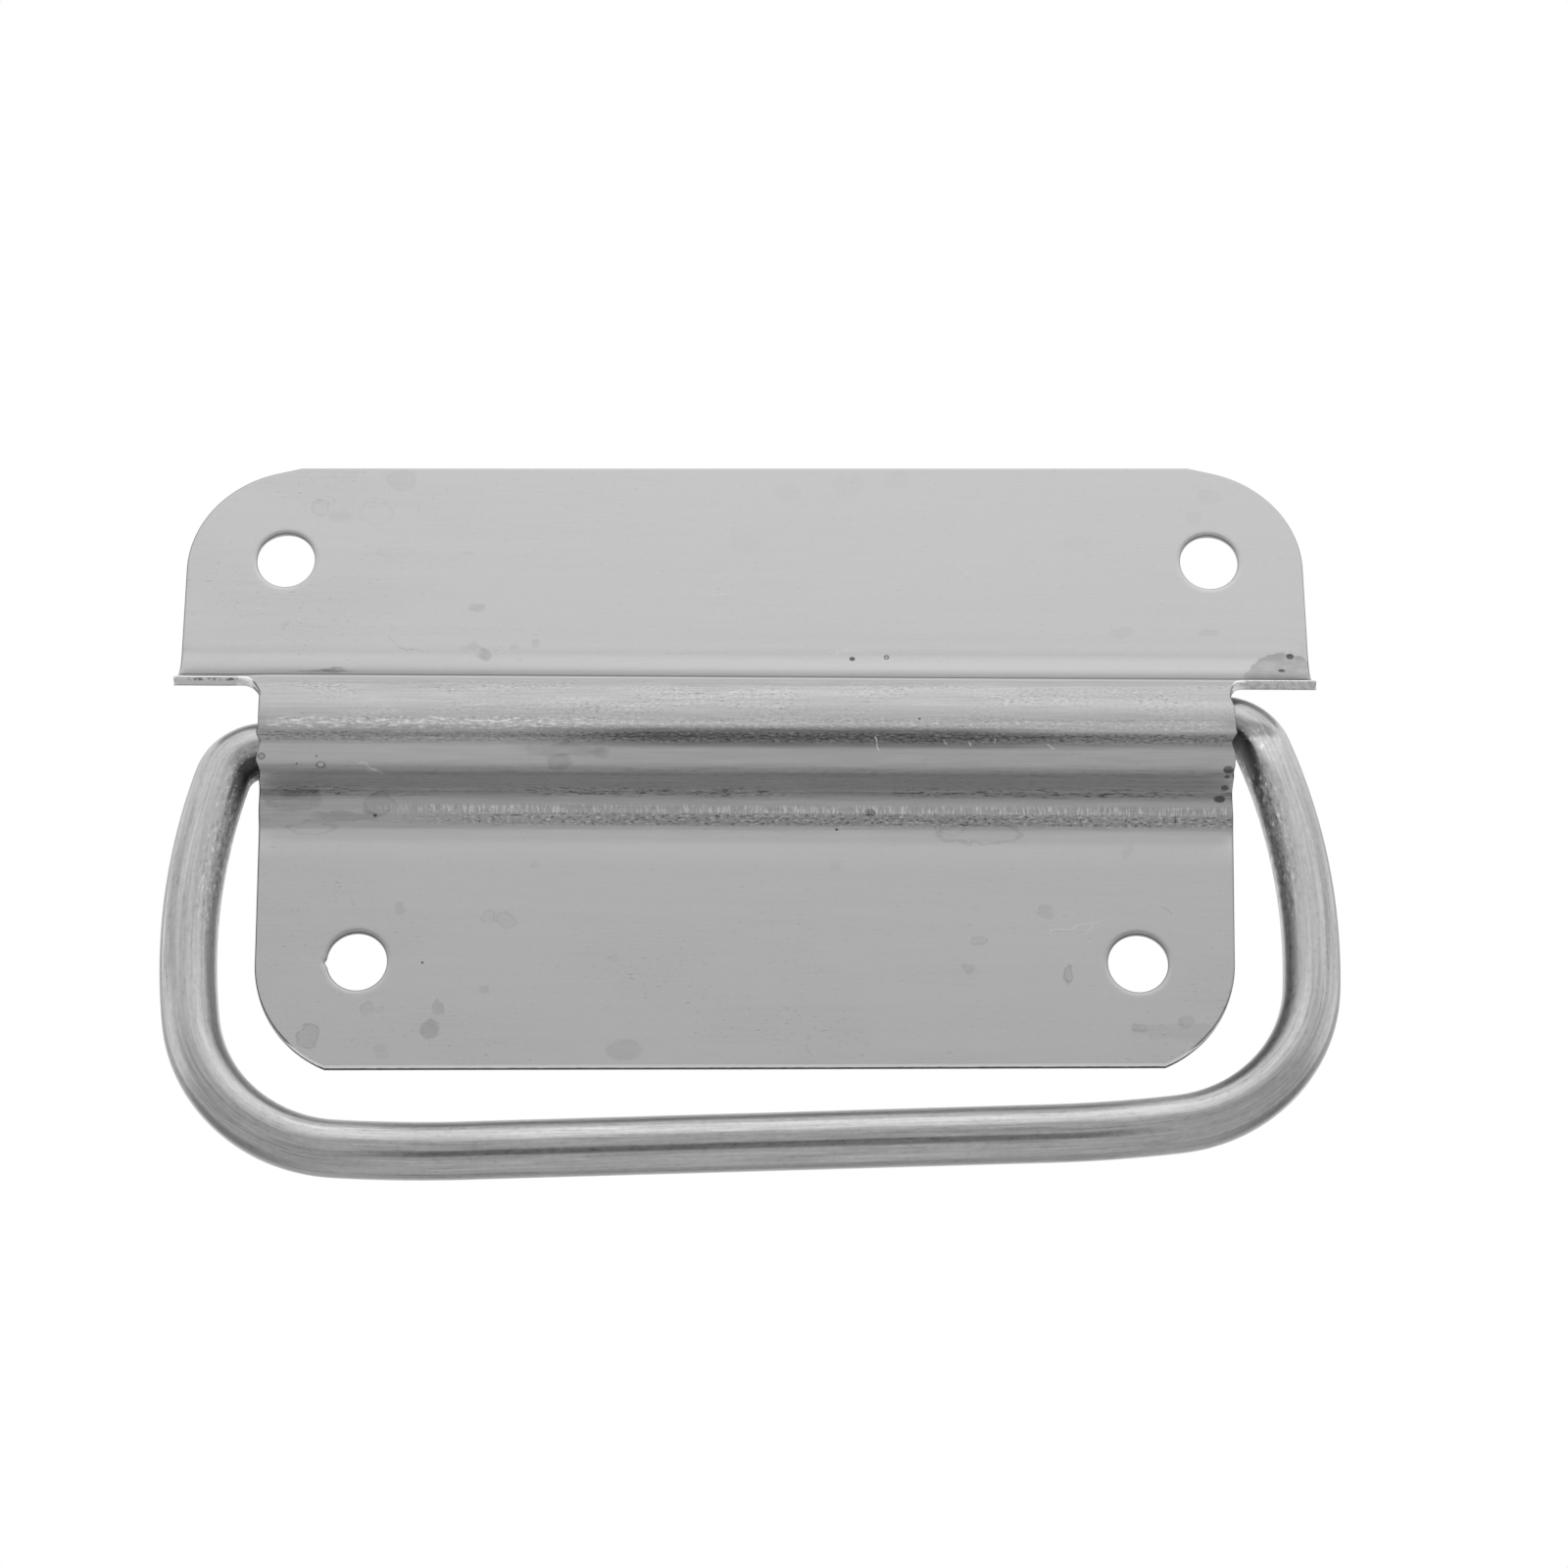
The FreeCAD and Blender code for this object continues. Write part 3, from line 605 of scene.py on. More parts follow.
class SheetSurface:
    """Places points of the blank in space: across, along the section, and into the thickness."""

    def __init__(self):
        self.kept = {}

    def profile(self, along):
        key = round(along, 4)
        if key not in self.kept:
            pressed = PRESSED_ROWS[0] < along < PRESSED_ROWS[1]
            plain = section.at(along)
            self.kept[key] = (plain, soften(along) if pressed else plain)
        return self.kept[key]

    def place(self, across, along, depth):
        plain, soft = self.profile(along)
        from_end = BARREL_HALF - abs(across)
        blend = max(END_BLEND * share_of(1 - from_end / END_REACH) ** 1.5,
                    SOFT_BLEND * share_of(along - SOFT_FROM))
        height, z, lean = [a + (b - a) * blend for a, b in zip(plain, soft)]
        if along < UPPER_WAVE_END or along > LOWER_WAVE_START:
            wave = noise.noise(Vector((across / WAVE_ACROSS, along / WAVE_DOWN, WAVE_SEED)))
            height += WAVE_HEIGHT * (0.5 + 0.5 * wave)
        height -= depth * cosine(lean)
        z -= depth * sine(lean)
        skew = FOLD_SKEW + ROOT_SKEW * bump(along, ROOT_ROW, ROOT_SPREAD)
        if along < NOTCH_END:
            z -= WING_DROOP * ramp(-across, *DROOP_ACROSS) * ramp(along, *DROOP_ROWS)
        return (across * MM, -min(height, BARREL_HEIGHT) * MM, (z - skew * across) * MM)


def ramp(value, low, high):
    """Smooth step from nought at low to one at high."""
    share = share_of(value, low, high)
    return share * share * (3 - 2 * share)


def shear_ragged(across, along, level):
    """How far the torn part of a sheared edge lies back, at one level of the thickness."""
    grain = noise.noise(Vector((across * 2.1, along * 2.1, level * 7)))
    fine = noise.noise(Vector((across * 6.3, along * 6.3, level * 19)))
    return TEAR_BACK + TEAR_GRAIN * grain + TEAR_FINE * fine


EDGE_LEVELS = [
    # inward distance, depth, share of the ragged tear
    (0.22, 0.0, 0.0),
    (0.16, 0.0, 0.0),
    (0.09, 0.012, 0.0),
    (0.045, 0.04, 0.0),
    (0.012, 0.08, 0.0),
    (0.0, ROLL_DEPTH, 0.0),
    (0.0, 0.36, 0.15),
    (0.0, 0.42, 0.8),
    (0.0, 0.52, 1.0),
    (0.0, 0.63, 1.0),
    (0.0, 0.74, 1.0),
    (0.0, 0.83, 0.7),
    (0.0, 0.88, 0.2),
    (0.05, SHEET, 0.0),
    (0.16, SHEET, 0.0),
    (0.22, SHEET, 0.0),
]
HOLE_LEVELS = [
    (0.5, 0.0, 0.0),
    (0.38, 0.005, 0.0),
    (0.27, 0.02, 0.0),
    (0.17, 0.045, 0.0),
    (0.1, 0.07, 0.0),
    (0.055, 0.1, 0.0),
    (0.02, 0.14, 0.0),
    (0.0, 0.2, 0.0),
    (0.0, 0.34, 0.0),
    (0.0, 0.48, 0.0),
    (0.03, 0.58, 0.1),
    (0.08, 0.7, 0.5),
    (0.13, 0.8, 0.8),
    (0.16, 0.87, 0.5),
    (0.22, SHEET, 0.0),
    (0.36, SHEET, 0.0),
    (0.5, SHEET, 0.0),
]


def make_plate():
    """Backplate: one blank, meshed flat with its rim and holes, and bent over the section."""
    rows = section.stations(FLAT_STEP, BEND_STEP)
    outline = blank_side(-1, rows)[::-1][:-1] + blank_side(1, rows)[:-1]
    outline = outline if signed_area(outline) > 0 else outline[::-1]
    rims = [(outline, EDGE_LEVELS)] + [(loop, HOLE_LEVELS) for loop in plate_holes()]
    inner = [offset_loop(loop, levels[0][0]) for loop, levels in rims]
    guard = [offset_loop(loop, levels[0][0] + KEEP_OFF) for loop, levels in rims]
    flat = [point for loop in inner for point in loop]
    edges, start = [], 0
    for loop in inner:
        edges += [(start + k, start + (k + 1) % len(loop)) for k in range(len(loop))]
        start += len(loop)
    columns = np.arange(-COLUMN_HALF, COLUMN_HALF + 0.1, COLUMN_STEP)
    grid = [(x, row) for row in rows[1:-1] for x in columns]
    flat += [point for point, clear in zip(grid, inside(grid, guard)) if clear]
    flat += [point for loop in guard for point in loop[::2]]
    found = delaunay_2d_cdt([Vector(p) for p in flat], edges, [], 0, 1e-5)
    points, faces = [tuple(p) for p in found[0]], found[2]
    middles = [np.mean([points[k] for k in face], axis=0) for face in faces]
    kept = [face for face, within in zip(faces, inside(middles, inner))
            if within and abs(signed_area([points[k] for k in face])) > SLIVER]
    return build_sheet(rims, points, kept, found[3])


def signed_area(loop):
    return sum(x0 * y1 - x1 * y0 for (x0, y0), (x1, y1) in zip(loop, loop[1:] + loop[:1])) / 2


def build_sheet(rims, points, faces, origin):
    """The bent sheet: both faces of the blank, and the walls of its rim and its holes."""
    surface = SheetSurface()
    verts, marks, polygons = [], [], []

    def add(across, along, edge, depth, bore=0.0):
        verts.append(surface.place(across, along, depth))
        marks.append([across, along, edge, depth, bore])
        return len(verts) - 1

    front = [add(x, s, 1.0, 0.0) for x, s in points]
    back = [add(x, s, 1.0, SHEET) for x, s in points]
    own = {old: new for new, olds in enumerate(origin) for old in olds}
    for face in faces:
        turn = face if signed_area([points[k] for k in face]) < 0 else face[::-1]
        polygons += [[front[k] for k in turn], [back[k] for k in turn[::-1]]]
    start = 0
    for loop, levels in rims:
        count, bore = len(loop), float(levels is HOLE_LEVELS)
        rings = []
        for level, (distance, depth, tear) in enumerate(levels):
            if level in (0, len(levels) - 1):
                side = back if level else front
                ring = [side[own[start + k]] for k in range(count)]
                for index in ring:
                    marks[index][2] = distance
            else:
                ring = offset_loop(loop, distance)
                if tear:
                    ring = [offset_point(ring, k, tear * shear_ragged(x, s, depth))
                            for k, (x, s) in enumerate(ring)]
                ring = [add(x, s, distance, depth, bore) for x, s in ring]
            rings.append(ring)
        for upper, lower in zip(rings, rings[1:]):
            for k in range(count):
                after = (k + 1) % count
                polygons.append([upper[k], upper[after], lower[after], lower[k]])
        start += count
    mesh = bpy.data.meshes.new("plate_sheet")
    mesh.from_pydata(verts, [], polygons)
    mesh.update()
    table = np.array(marks)
    write_attribute(mesh, "blank", "POINT", table[:, :3])
    write_attribute(mesh, "depth", "POINT", table[:, 3])
    write_attribute(mesh, "bore", "POINT", table[:, 4])
    lay_blemishes(mesh, table[:, :2])
    for polygon in mesh.polygons:
        polygon.use_smooth = True
    return put("plate_sheet", mesh)


def offset_point(loop, k, distance):
    before, after = Vector(loop[k - 1]), Vector(loop[(k + 1) % len(loop)])
    way = (after - before).normalized()
    return tuple(Vector(loop[k]) + Vector((-way.y, way.x)) * distance)


# Bail

WIRE_DEPTH = -WALL_CLEARANCE - WIRE / 2
BAIL_TILT = Matrix.Rotation(math.radians(BAIL_SKEW), 4, Vector((0, -1, 0)))
BAR_STEPS, BEND_LENGTH_STEP, STUB_STEPS = 40, 0.5, 24
RUB_LEVEL = -16.04                  # height of the ledge's underside, less a little room
RUB_BACK, RUB_FRONT = -5.0, -5.25   # between these the dent is flat
RUB_BACK_SLOPE, RUB_FRONT_SLOPE = 0.42, 0.16
RUB_SOFT = 0.2


def bail_route():
    """Middle line of the wire, from the cut end on the left to the one on the right."""
    bar_end_turn = 180 - CORNER_TURN - LEG_TURN - SHOULDER_TURN
    bends = [(BAR_END_RADIUS, bar_end_turn), (CORNER_RADIUS, CORNER_TURN), (None, LEG_TURN),
             (SHOULDER_RADIUS, SHOULDER_TURN)]
    drop, turned = BAIL_DROP, 0.0
    for radius, turn in bends[:2]:
        drop -= radius * (cosine(turned) - cosine(turned + turn))
        turned += turn
    drop -= SHOULDER_RADIUS * (1 + cosine(turned + LEG_TURN))
    bends[2] = (drop / (cosine(turned) - cosine(turned + LEG_TURN)), LEG_TURN)
    half, turned = BARREL_HALF - BEND_INSET, 0.0
    for radius, turn in bends:
        half -= radius * (sine(turned + turn) - sine(turned))
        turned += turn
    x, z, heading = half, -BAIL_DROP, 0.0
    points = [(half * k / BAR_STEPS, z) for k in range(1, BAR_STEPS + 1)]
    for radius, turn in bends:
        count = max(6, math.ceil(radius * math.radians(turn) / BEND_LENGTH_STEP))
        centre = (x - radius * sine(heading), z + radius * cosine(heading))
        for k in range(1, count + 1):
            angle = heading + turn * k / count
            points.append((centre[0] + radius * sine(angle), centre[1] - radius * cosine(angle)))
        heading += turn
        x, z = points[-1]
    points += [(x - STUB * k / STUB_STEPS, z) for k in range(1, STUB_STEPS + 1)]
    route = [(-px, pz) for px, pz in points[::-1]] + [(0.0, -BAIL_DROP)] + points
    shift = Vector((BAIL_SHIFT, 0, -PIVOT_DROP))
    return [(BAIL_TILT @ Vector((px, WIRE_DEPTH, pz)) + shift) * MM for px, pz in route]


def bail_tree(material):
    """Wire drawn along a route: round profile, chamfered cut ends, small dents."""
    graph, given, out = new_group("drawn_wire", "GeometryNodeTree", [
        ("Route", "geometry", None),
        ("Wire Radius", "value", WIRE / 2 * MM),
        ("Sides", "count", 64),
        ("Spacing", "value", 0.4 * MM),
        ("End Chamfer", "value", 0.5 * MM),
        ("End Share", "value", 0.84),
        ("Dent Depth", "value", 0.03 * MM),
        ("Seed", "value", 4.0),
    ], "geometry", ["Wire"])

    def keep(geometry, name, kind, value):
        """Capture a value on a geometry, to be read after the sweep."""
        node = graph.add("GeometryNodeCaptureAttribute")
        node.capture_items.new(kind, name)
        graph.feed(node.inputs["Geometry"], geometry)
        graph.feed(node.inputs[name], value)
        return node.outputs

    def change(kind, geometry, settings={}, **values):
        """Pass a geometry through one node."""
        return graph.place("GeometryNode" + kind, settings, Geometry=geometry, **values)["Geometry"]

    steps = graph.place("GeometryNodeResampleCurve", {"mode": "LENGTH"},
                        Curve=given["Route"], Length=given["Spacing"])
    length = graph.place("GeometryNodeSplineParameter")["Length"]
    rest = graph.math("SUBTRACT", graph.place("GeometryNodeSplineLength")["Length"], length)
    to_end = graph.math("DIVIDE", graph.math("MINIMUM", length, rest), given["End Chamfer"])
    share = graph.place("ShaderNodeMapRange", To_Min=given["End Share"], Value=to_end)["Result"]
    line = graph.place("GeometryNodeSetCurveRadius", Curve=steps["Curve"],
                       Radius=graph.times(share, given["Wire Radius"]))
    line = keep(line["Curve"], "Length", "FLOAT", length)
    circle = graph.place("GeometryNodeCurvePrimitiveCircle", Radius=1.0, Resolution=given["Sides"])
    circle = keep(circle["Curve"], "Round", "VECTOR",
                  graph.place("GeometryNodeInputPosition")["Position"])
    sweep = graph.place("GeometryNodeCurveToMesh", Curve=line["Geometry"], Fill_Caps=True,
                        Profile_Curve=circle["Geometry"],
                        Scale=graph.place("GeometryNodeInputRadius")["Radius"])
    around = graph.parts(circle["Round"])
    wire = change("StoreNamedAttribute", sweep["Mesh"],
                  {"data_type": "FLOAT_VECTOR", "domain": "POINT"}, Name="wire",
                  Value=graph.whole(around["X"], around["Y"], line["Length"]))

    texture = graph.place("ShaderNodeTexNoise", {"noise_dimensions": "4D"},
                          Scale=120.0, Detail=2.0, W=given["Seed"])["Fac"]
    sunk = graph.times(texture, given["Dent Depth"], -1.0)
    inward = graph.vector("MULTIPLY", graph.place("GeometryNodeInputNormal")["Normal"],
                          graph.whole(sunk, sunk, sunk))
    wire = change("SetShadeSmooth", change("SetPosition", wire, Offset=inward))
    wire = change("SetMaterial", change("RealizeInstances", wire), Material=material)
    graph.feed(out["Wire"], wire)
    return graph.tree


def rub_dent(mesh):
    """Dent on the wire's right shoulder where the raised bail stops against the ledge."""
    axis = BAIL_TILT @ Vector((1, 0, 0))
    pivot = Vector((BAIL_SHIFT, WIRE_DEPTH, -PIVOT_DROP)) * MM
    raised = (Matrix.Translation(pivot) @ Matrix.Rotation(math.radians(-90), 4, axis)
              @ Matrix.Translation(-pivot))
    lowered = raised.inverted()
    rubbed = mesh.attributes.new("rub", "FLOAT", "POINT").data
    for point, rub in zip(mesh.vertices, rubbed):
        place = raised @ point.co
        reach = place.y / MM
        level = RUB_LEVEL + max(0.0, RUB_BACK_SLOPE * (reach - RUB_BACK),
                                RUB_FRONT_SLOPE * (RUB_FRONT - reach))
        over = place.z / MM - level
        if over > -RUB_SOFT:
            sunk = over if over > RUB_SOFT else (over + RUB_SOFT) ** 2 / (4 * RUB_SOFT)
            place.z -= sunk * MM
            point.co = lowered @ place
            rub.value = min(1.0, sunk / RUB_SOFT)


def make_bail(route, material):
    curve = bpy.data.curves.new("bail_route", "CURVE")
    curve.dimensions = "3D"
    spline = curve.splines.new("POLY")
    spline.points.add(len(route) - 1)
    for point, place in zip(spline.points, route):
        point.co = (*place, 1.0)
    carrier = put("bail_route", curve)
    carrier.modifiers.new("drawn_wire", "NODES").node_group = bail_tree(material)
    mesh = bpy.data.meshes.new_from_object(
        carrier.evaluated_get(bpy.context.evaluated_depsgraph_get()))
    bpy.data.objects.remove(carrier)
    mesh.name = "bail_wire"
    rub_dent(mesh)
    return put("bail_wire", mesh)


# Finishes that both materials share

KEEP_XY = (1, 1, 0)


def drawn_grain():
    """Fine lines that run along the metal where rolls or a die have drawn it."""
    graph, given, out = shader_group("drawn_grain", [
        ("Place", "vector", None),
        ("Line Stretch", "vector", (0.05, 5.0, 1.0)),
        ("Fade Stretch", "vector", (0.03, 0.12, 1.0)),
    ], ["Lines", "Patches"])
    lines = graph.noise(given["Place"], given["Line Stretch"], 3.0, 0.62)
    patches = graph.noise(given["Place"], given["Fade Stretch"], 2.0, 0.55)
    strength = graph.span(patches, 0.3, 0.7, 0.35, 1.0)
    graph.feed(out["Lines"], graph.times(graph.math("SUBTRACT", lines, 0.5), strength))
    graph.feed(out["Patches"], graph.math("SUBTRACT", patches, 0.5))
    return graph.tree


def press_flecks():
    """Small bright and dark flecks where the metal has rubbed on a hard tool."""
    graph, given, out = shader_group("press_flecks", [
        ("Place", "vector", None),
        ("Fleck Stretch", "vector", (3.0, 6.0, 1.0)),
        ("Bright Share", "value", 0.3),
        ("Dark Share", "value", 0.3),
    ], ["Bright", "Dark"])
    grain = graph.noise(given["Place"], given["Fleck Stretch"], 3.0, 0.7)
    bright_from = graph.math("SUBTRACT", 0.7, graph.times(given["Bright Share"], 0.4))
    dark_from = graph.math("ADD", 0.3, graph.times(given["Dark Share"], 0.4))
    graph.feed(out["Bright"], graph.span(grain, bright_from, graph.math("ADD", bright_from, 0.12)))
    graph.feed(out["Dark"], graph.span(grain, dark_from, graph.math("SUBTRACT", dark_from, 0.12)))
    return graph.tree


def stain():
    """Shade of a round or drawn-out spot with a soft fill and a drier rim."""
    graph, given, out = shader_group("stain", [
        ("Place", "vector", None),
        ("Centre", "vector", None),
        ("Size", "vector", None),
        ("Softness", "value", 0.13),
        ("Rim", "value", 0.14),
    ], ["Shade", "Fill"])
    fill_shade = graph.parts(given["Centre"])["Z"]
    half_width, half_height, rim_shade = graph.parts(given["Size"])
    reach = graph.vector("SUBTRACT", given["Place"], given["Centre"])
    size = graph.vector("MULTIPLY_ADD", given["Size"], KEEP_XY, (0, 0, 1))
    reach = graph.vector("MULTIPLY", reach, KEEP_XY)
    share = graph.vector("LENGTH", graph.vector("DIVIDE", reach, size))
    gap = graph.times(graph.math("SUBTRACT", share, 1.0),
                      graph.math("MINIMUM", half_width, half_height))
    fill = graph.span(gap, given["Softness"], graph.times(given["Softness"], -1.0))
    rim = graph.span(graph.math("ABSOLUTE", gap), given["Rim"], 0.0)
    graph.feed(out["Shade"], graph.sum([(fill, fill_shade), (rim, rim_shade)]))
    graph.feed(out["Fill"], fill)
    return graph.tree


def scratch():
    """Shade of a straight scratch between two points."""
    graph, given, out = shader_group("scratch", [
        ("Place", "vector", None),
        ("Start", "vector", None),
        ("End", "vector", None),
    ], ["Shade"])
    shade, width = graph.parts(given["Start"])["Z"], graph.parts(given["End"])["Z"]
    start = graph.vector("MULTIPLY", given["Start"], KEEP_XY)
    way = graph.vector("SUBTRACT", graph.vector("MULTIPLY", given["End"], KEEP_XY), start)
    reach = graph.vector("SUBTRACT", given["Place"], start)
    share = graph.math("DIVIDE", graph.vector("DOT_PRODUCT", reach, way),
                       graph.vector("DOT_PRODUCT", way, way), clamp=True)
    nearest = graph.vector("MULTIPLY", way, graph.whole(share, share, share))
    gap = graph.vector("LENGTH", graph.vector("SUBTRACT", reach, nearest))
    graph.feed(out["Shade"], graph.times(graph.span(gap, width, 0.0), shade))
    return graph.tree


GROUPS = {"grain": drawn_grain(), "flecks": press_flecks(), "stain": stain(), "scratch": scratch()}
BARE_TONE = 0.56
DARKEST = 0.22      # share of the bare tone under which no mark falls
RELIEF = 0.00001    # metres that a relief of one stands out


def grain_on(graph, place, lines, fade):
    return graph.use("grain", place=place, line_stretch=lines, fade_stretch=fade)


def flecks_on(graph, place, stretch, bright, dark):
    return graph.use("flecks", place=place, fleck_stretch=stretch,
                     bright_share=bright, dark_share=dark)


def new_material(name, **values):
    """Material, its graph and the inputs of its shader, some of them set."""
    material = bpy.data.materials.new(name)
    material.use_nodes = True
    inputs = material.node_tree.nodes["Principled BSDF"].inputs
    for label, value in values.items():
        inputs[label.replace("_", " ")].default_value = value
    return material, Graph(material.node_tree), inputs


def finish_metal(graph, inputs, shade, roughness, even_roughness, relief):
    """Feed a metal's shader with the sums of the terms of its shade, roughness and relief."""
    share = graph.math("MAXIMUM", graph.math("ADD", graph.sum(shade), 1.0), DARKEST)
    tone = graph.math("MULTIPLY", share, BARE_TONE, clamp=True)
    colour = graph.place("ShaderNodeCombineColor", Red=tone, Green=tone, Blue=tone)
    graph.feed(inputs["Base Color"], colour["Color"])
    rough = graph.math("ADD", graph.sum(roughness), even_roughness, clamp=True)
    graph.feed(inputs["Roughness"], rough)
    bump = graph.place("ShaderNodeBump", Strength=1.0, Distance=RELIEF, Height=graph.sum(relief))
    graph.feed(inputs["Normal"], bump["Normal"])


# Finish of the pressed sheet

PARTS = {"stain": ("centre", "size"), "scratch": ("start", "end")}
LEDGE_ROWS = (23.9, 28.6, 0.2)      # first row, last row and softness
# Painted light and shade on the folds: each band is lighter or darker by how its fold faces the
# light, with a painted dark line in the crease under the root and a painted highlight along the
# brow.
FOLD_LIGHT_AND_SHADE = [
    # first row, last row, softness, shade from one side of the sheet to the other
    (19.6, 21.6, 0.6, -0.1),
    (23.6, 24.6, 0.25, -0.55),
    (25.0, 27.4, 0.3, -0.15),
    (27.9, 28.5, 0.2, 0.4),
    (28.9, 31.2, 0.7, -0.18),
    (30.9, 32.7, 0.6, -0.09),
    (33.6, 34.2, 0.25, 0.2),
    (35.9, 37.6, 0.3, 0.1),
    (38.0, 38.8, 0.3, -0.22),
    (44.7, 45.6, 0.4, 0.14),
]


def sheet_marks(graph, place, row):
    """Shade of the stains, pits and scratches that each face carries, and the pits' depth."""
    wander = graph.noise(place, (0.7, 0.7, 0.0), 1.0)
    turn = graph.noise(place, (0.77, 1.21, 0.0), 1.0)
    push = graph.whole(graph.math("SUBTRACT", wander, 0.5), graph.math("SUBTRACT", turn, 0.5), 0.0)
    uneven = graph.vector("MULTIPLY_ADD", push, (1.1, 1.1, 0.0), place)
    mottle = graph.span(turn, 0.36, 0.6, 1.0, 1.4)

    def drawn(group, kind, layer, where, **settings):
        """One blemish, drawn from what the face carries of it."""
        carried = {part: graph.attribute(f"{kind}_{part}{layer}", "Vector")
                   for part in PARTS[group]}
        return graph.use(group, place=where, **carried, **settings)

    shades, depths = [], []
    for layer in LAYERS:
        spot = drawn("stain", "stain", layer, uneven)
        pit = drawn("stain", "pit", layer, place, softness=0.07, rim=0.09)
        cut = drawn("scratch", "scratch", layer, uneven)
        shades += [(spot["Shade"], mottle, 1.0), (pit["Shade"], 1.35), (cut["Shade"], 1.5)]
        depths.append((pit["Fill"], -1.0))
    off_ledge = graph.math("SUBTRACT", 1.0, graph.band(row, *LEDGE_ROWS))
    return graph.times(graph.sum(shades), off_ledge), graph.sum(depths)


def fold_marks_and_shading(graph, place, across, row):
    """Painted light and shade along the folds, the marks that the press tool left along them, and
    the roughness that goes with the marks.
    """
    band, span, times = graph.band, graph.span, graph.times
    fine = flecks_on(graph, place, (2.2, 5.0, 0.0), 0.4, 0.4)
    coarse = flecks_on(graph, place, (0.9, 4.5, 0.0), 0.5, 0.5)
    upright = flecks_on(graph, place, (5.5, 0.9, 0.0), 0.5, 0.4)
    patchy = span(graph.noise(place, (0.11, 0.3, 0.0), 1.0), 0.38, 0.6, 0.15, 1.0)
    middle = times(span(across, -24.0, -6.0), span(across, 38.0, 18.0, 0.4))
    left = span(across, -8.0, -22.0, 0.2, 1.0)
    inboard = span(graph.math("ABSOLUTE", across), 43.9, 43.0)

    rub = times(band(row, 33.3, 34.35, 0.25), inboard)
    # Real soot in the valley below the crown's step, with painted shade where that valley faces
    # down.
    soot_and_shade = band(row, 34.6, 35.6, 0.3)
    crown = times(band(row, 29.2, 33.4, 0.8), patchy)
    fringe = times(band(row, 42.5, 43.3, 0.2), span(across, -36.0, -28.0))
    press = times(band(row, 43.25, 44.45, 0.2), span(across, -36.0, -20.0))
    seam = times(band(row, 40.6, 41.6, 0.25), patchy)
    shade = graph.sum([(band(row, *rows), shade) for *rows, shade in FOLD_LIGHT_AND_SHADE] + [
        (rub, left, coarse["Bright"], 0.8),
        (rub, fine["Bright"], 0.4),
        (rub, fine["Dark"], -0.25),
        (band(row, 34.1, 34.6, 0.2), span(across, 16.0, 30.0), 0.35),
        # painted shade and soot in the valley below the crown's step, darkest in the middle
        (soot_and_shade, -0.14),
        (band(row, 34.2, 36.1, 0.25), middle, -0.45),
        (soot_and_shade, fine["Dark"], -0.45),
        (soot_and_shade, coarse["Dark"], -0.2),
        (soot_and_shade, fine["Bright"], 0.35),
        (crown, fine["Bright"], 0.2),
        (crown, coarse["Bright"], 0.05),
        (crown, fine["Dark"], -0.3),
        (fringe, upright["Bright"], 0.5),
        (fringe, upright["Dark"], -0.15),
        (press, -0.12),
        (press, middle, -0.12),
        (press, fine["Bright"], 0.6),
        (press, fine["Dark"], -0.7),
        (band(row, 37.9, 41.0, 0.4), coarse["Dark"], -0.12),
        (seam, coarse["Dark"], -0.5),
        (seam, fine["Bright"], 0.2),
        (band(row, 21.0, 23.4, 0.8), span(across, 20.0, -45.0), -0.08),
        # painted light and shade: the shelf lighter on the left, the hollow and shelf under the
        # underside darker, the lower flange darker all over below the barrel
        (band(row, 35.9, 37.6, 0.3), left, 0.12),
        (span(row, 40.9, 41.2), span(row, 42.3, 41.2), -0.45),
        (span(row, 45.6, 49.0), -0.14),
    ])
    worn = graph.math("MAXIMUM", graph.math("MAXIMUM", rub, soot_and_shade),
                      graph.math("MAXIMUM", press, fringe))
    return shade, worn


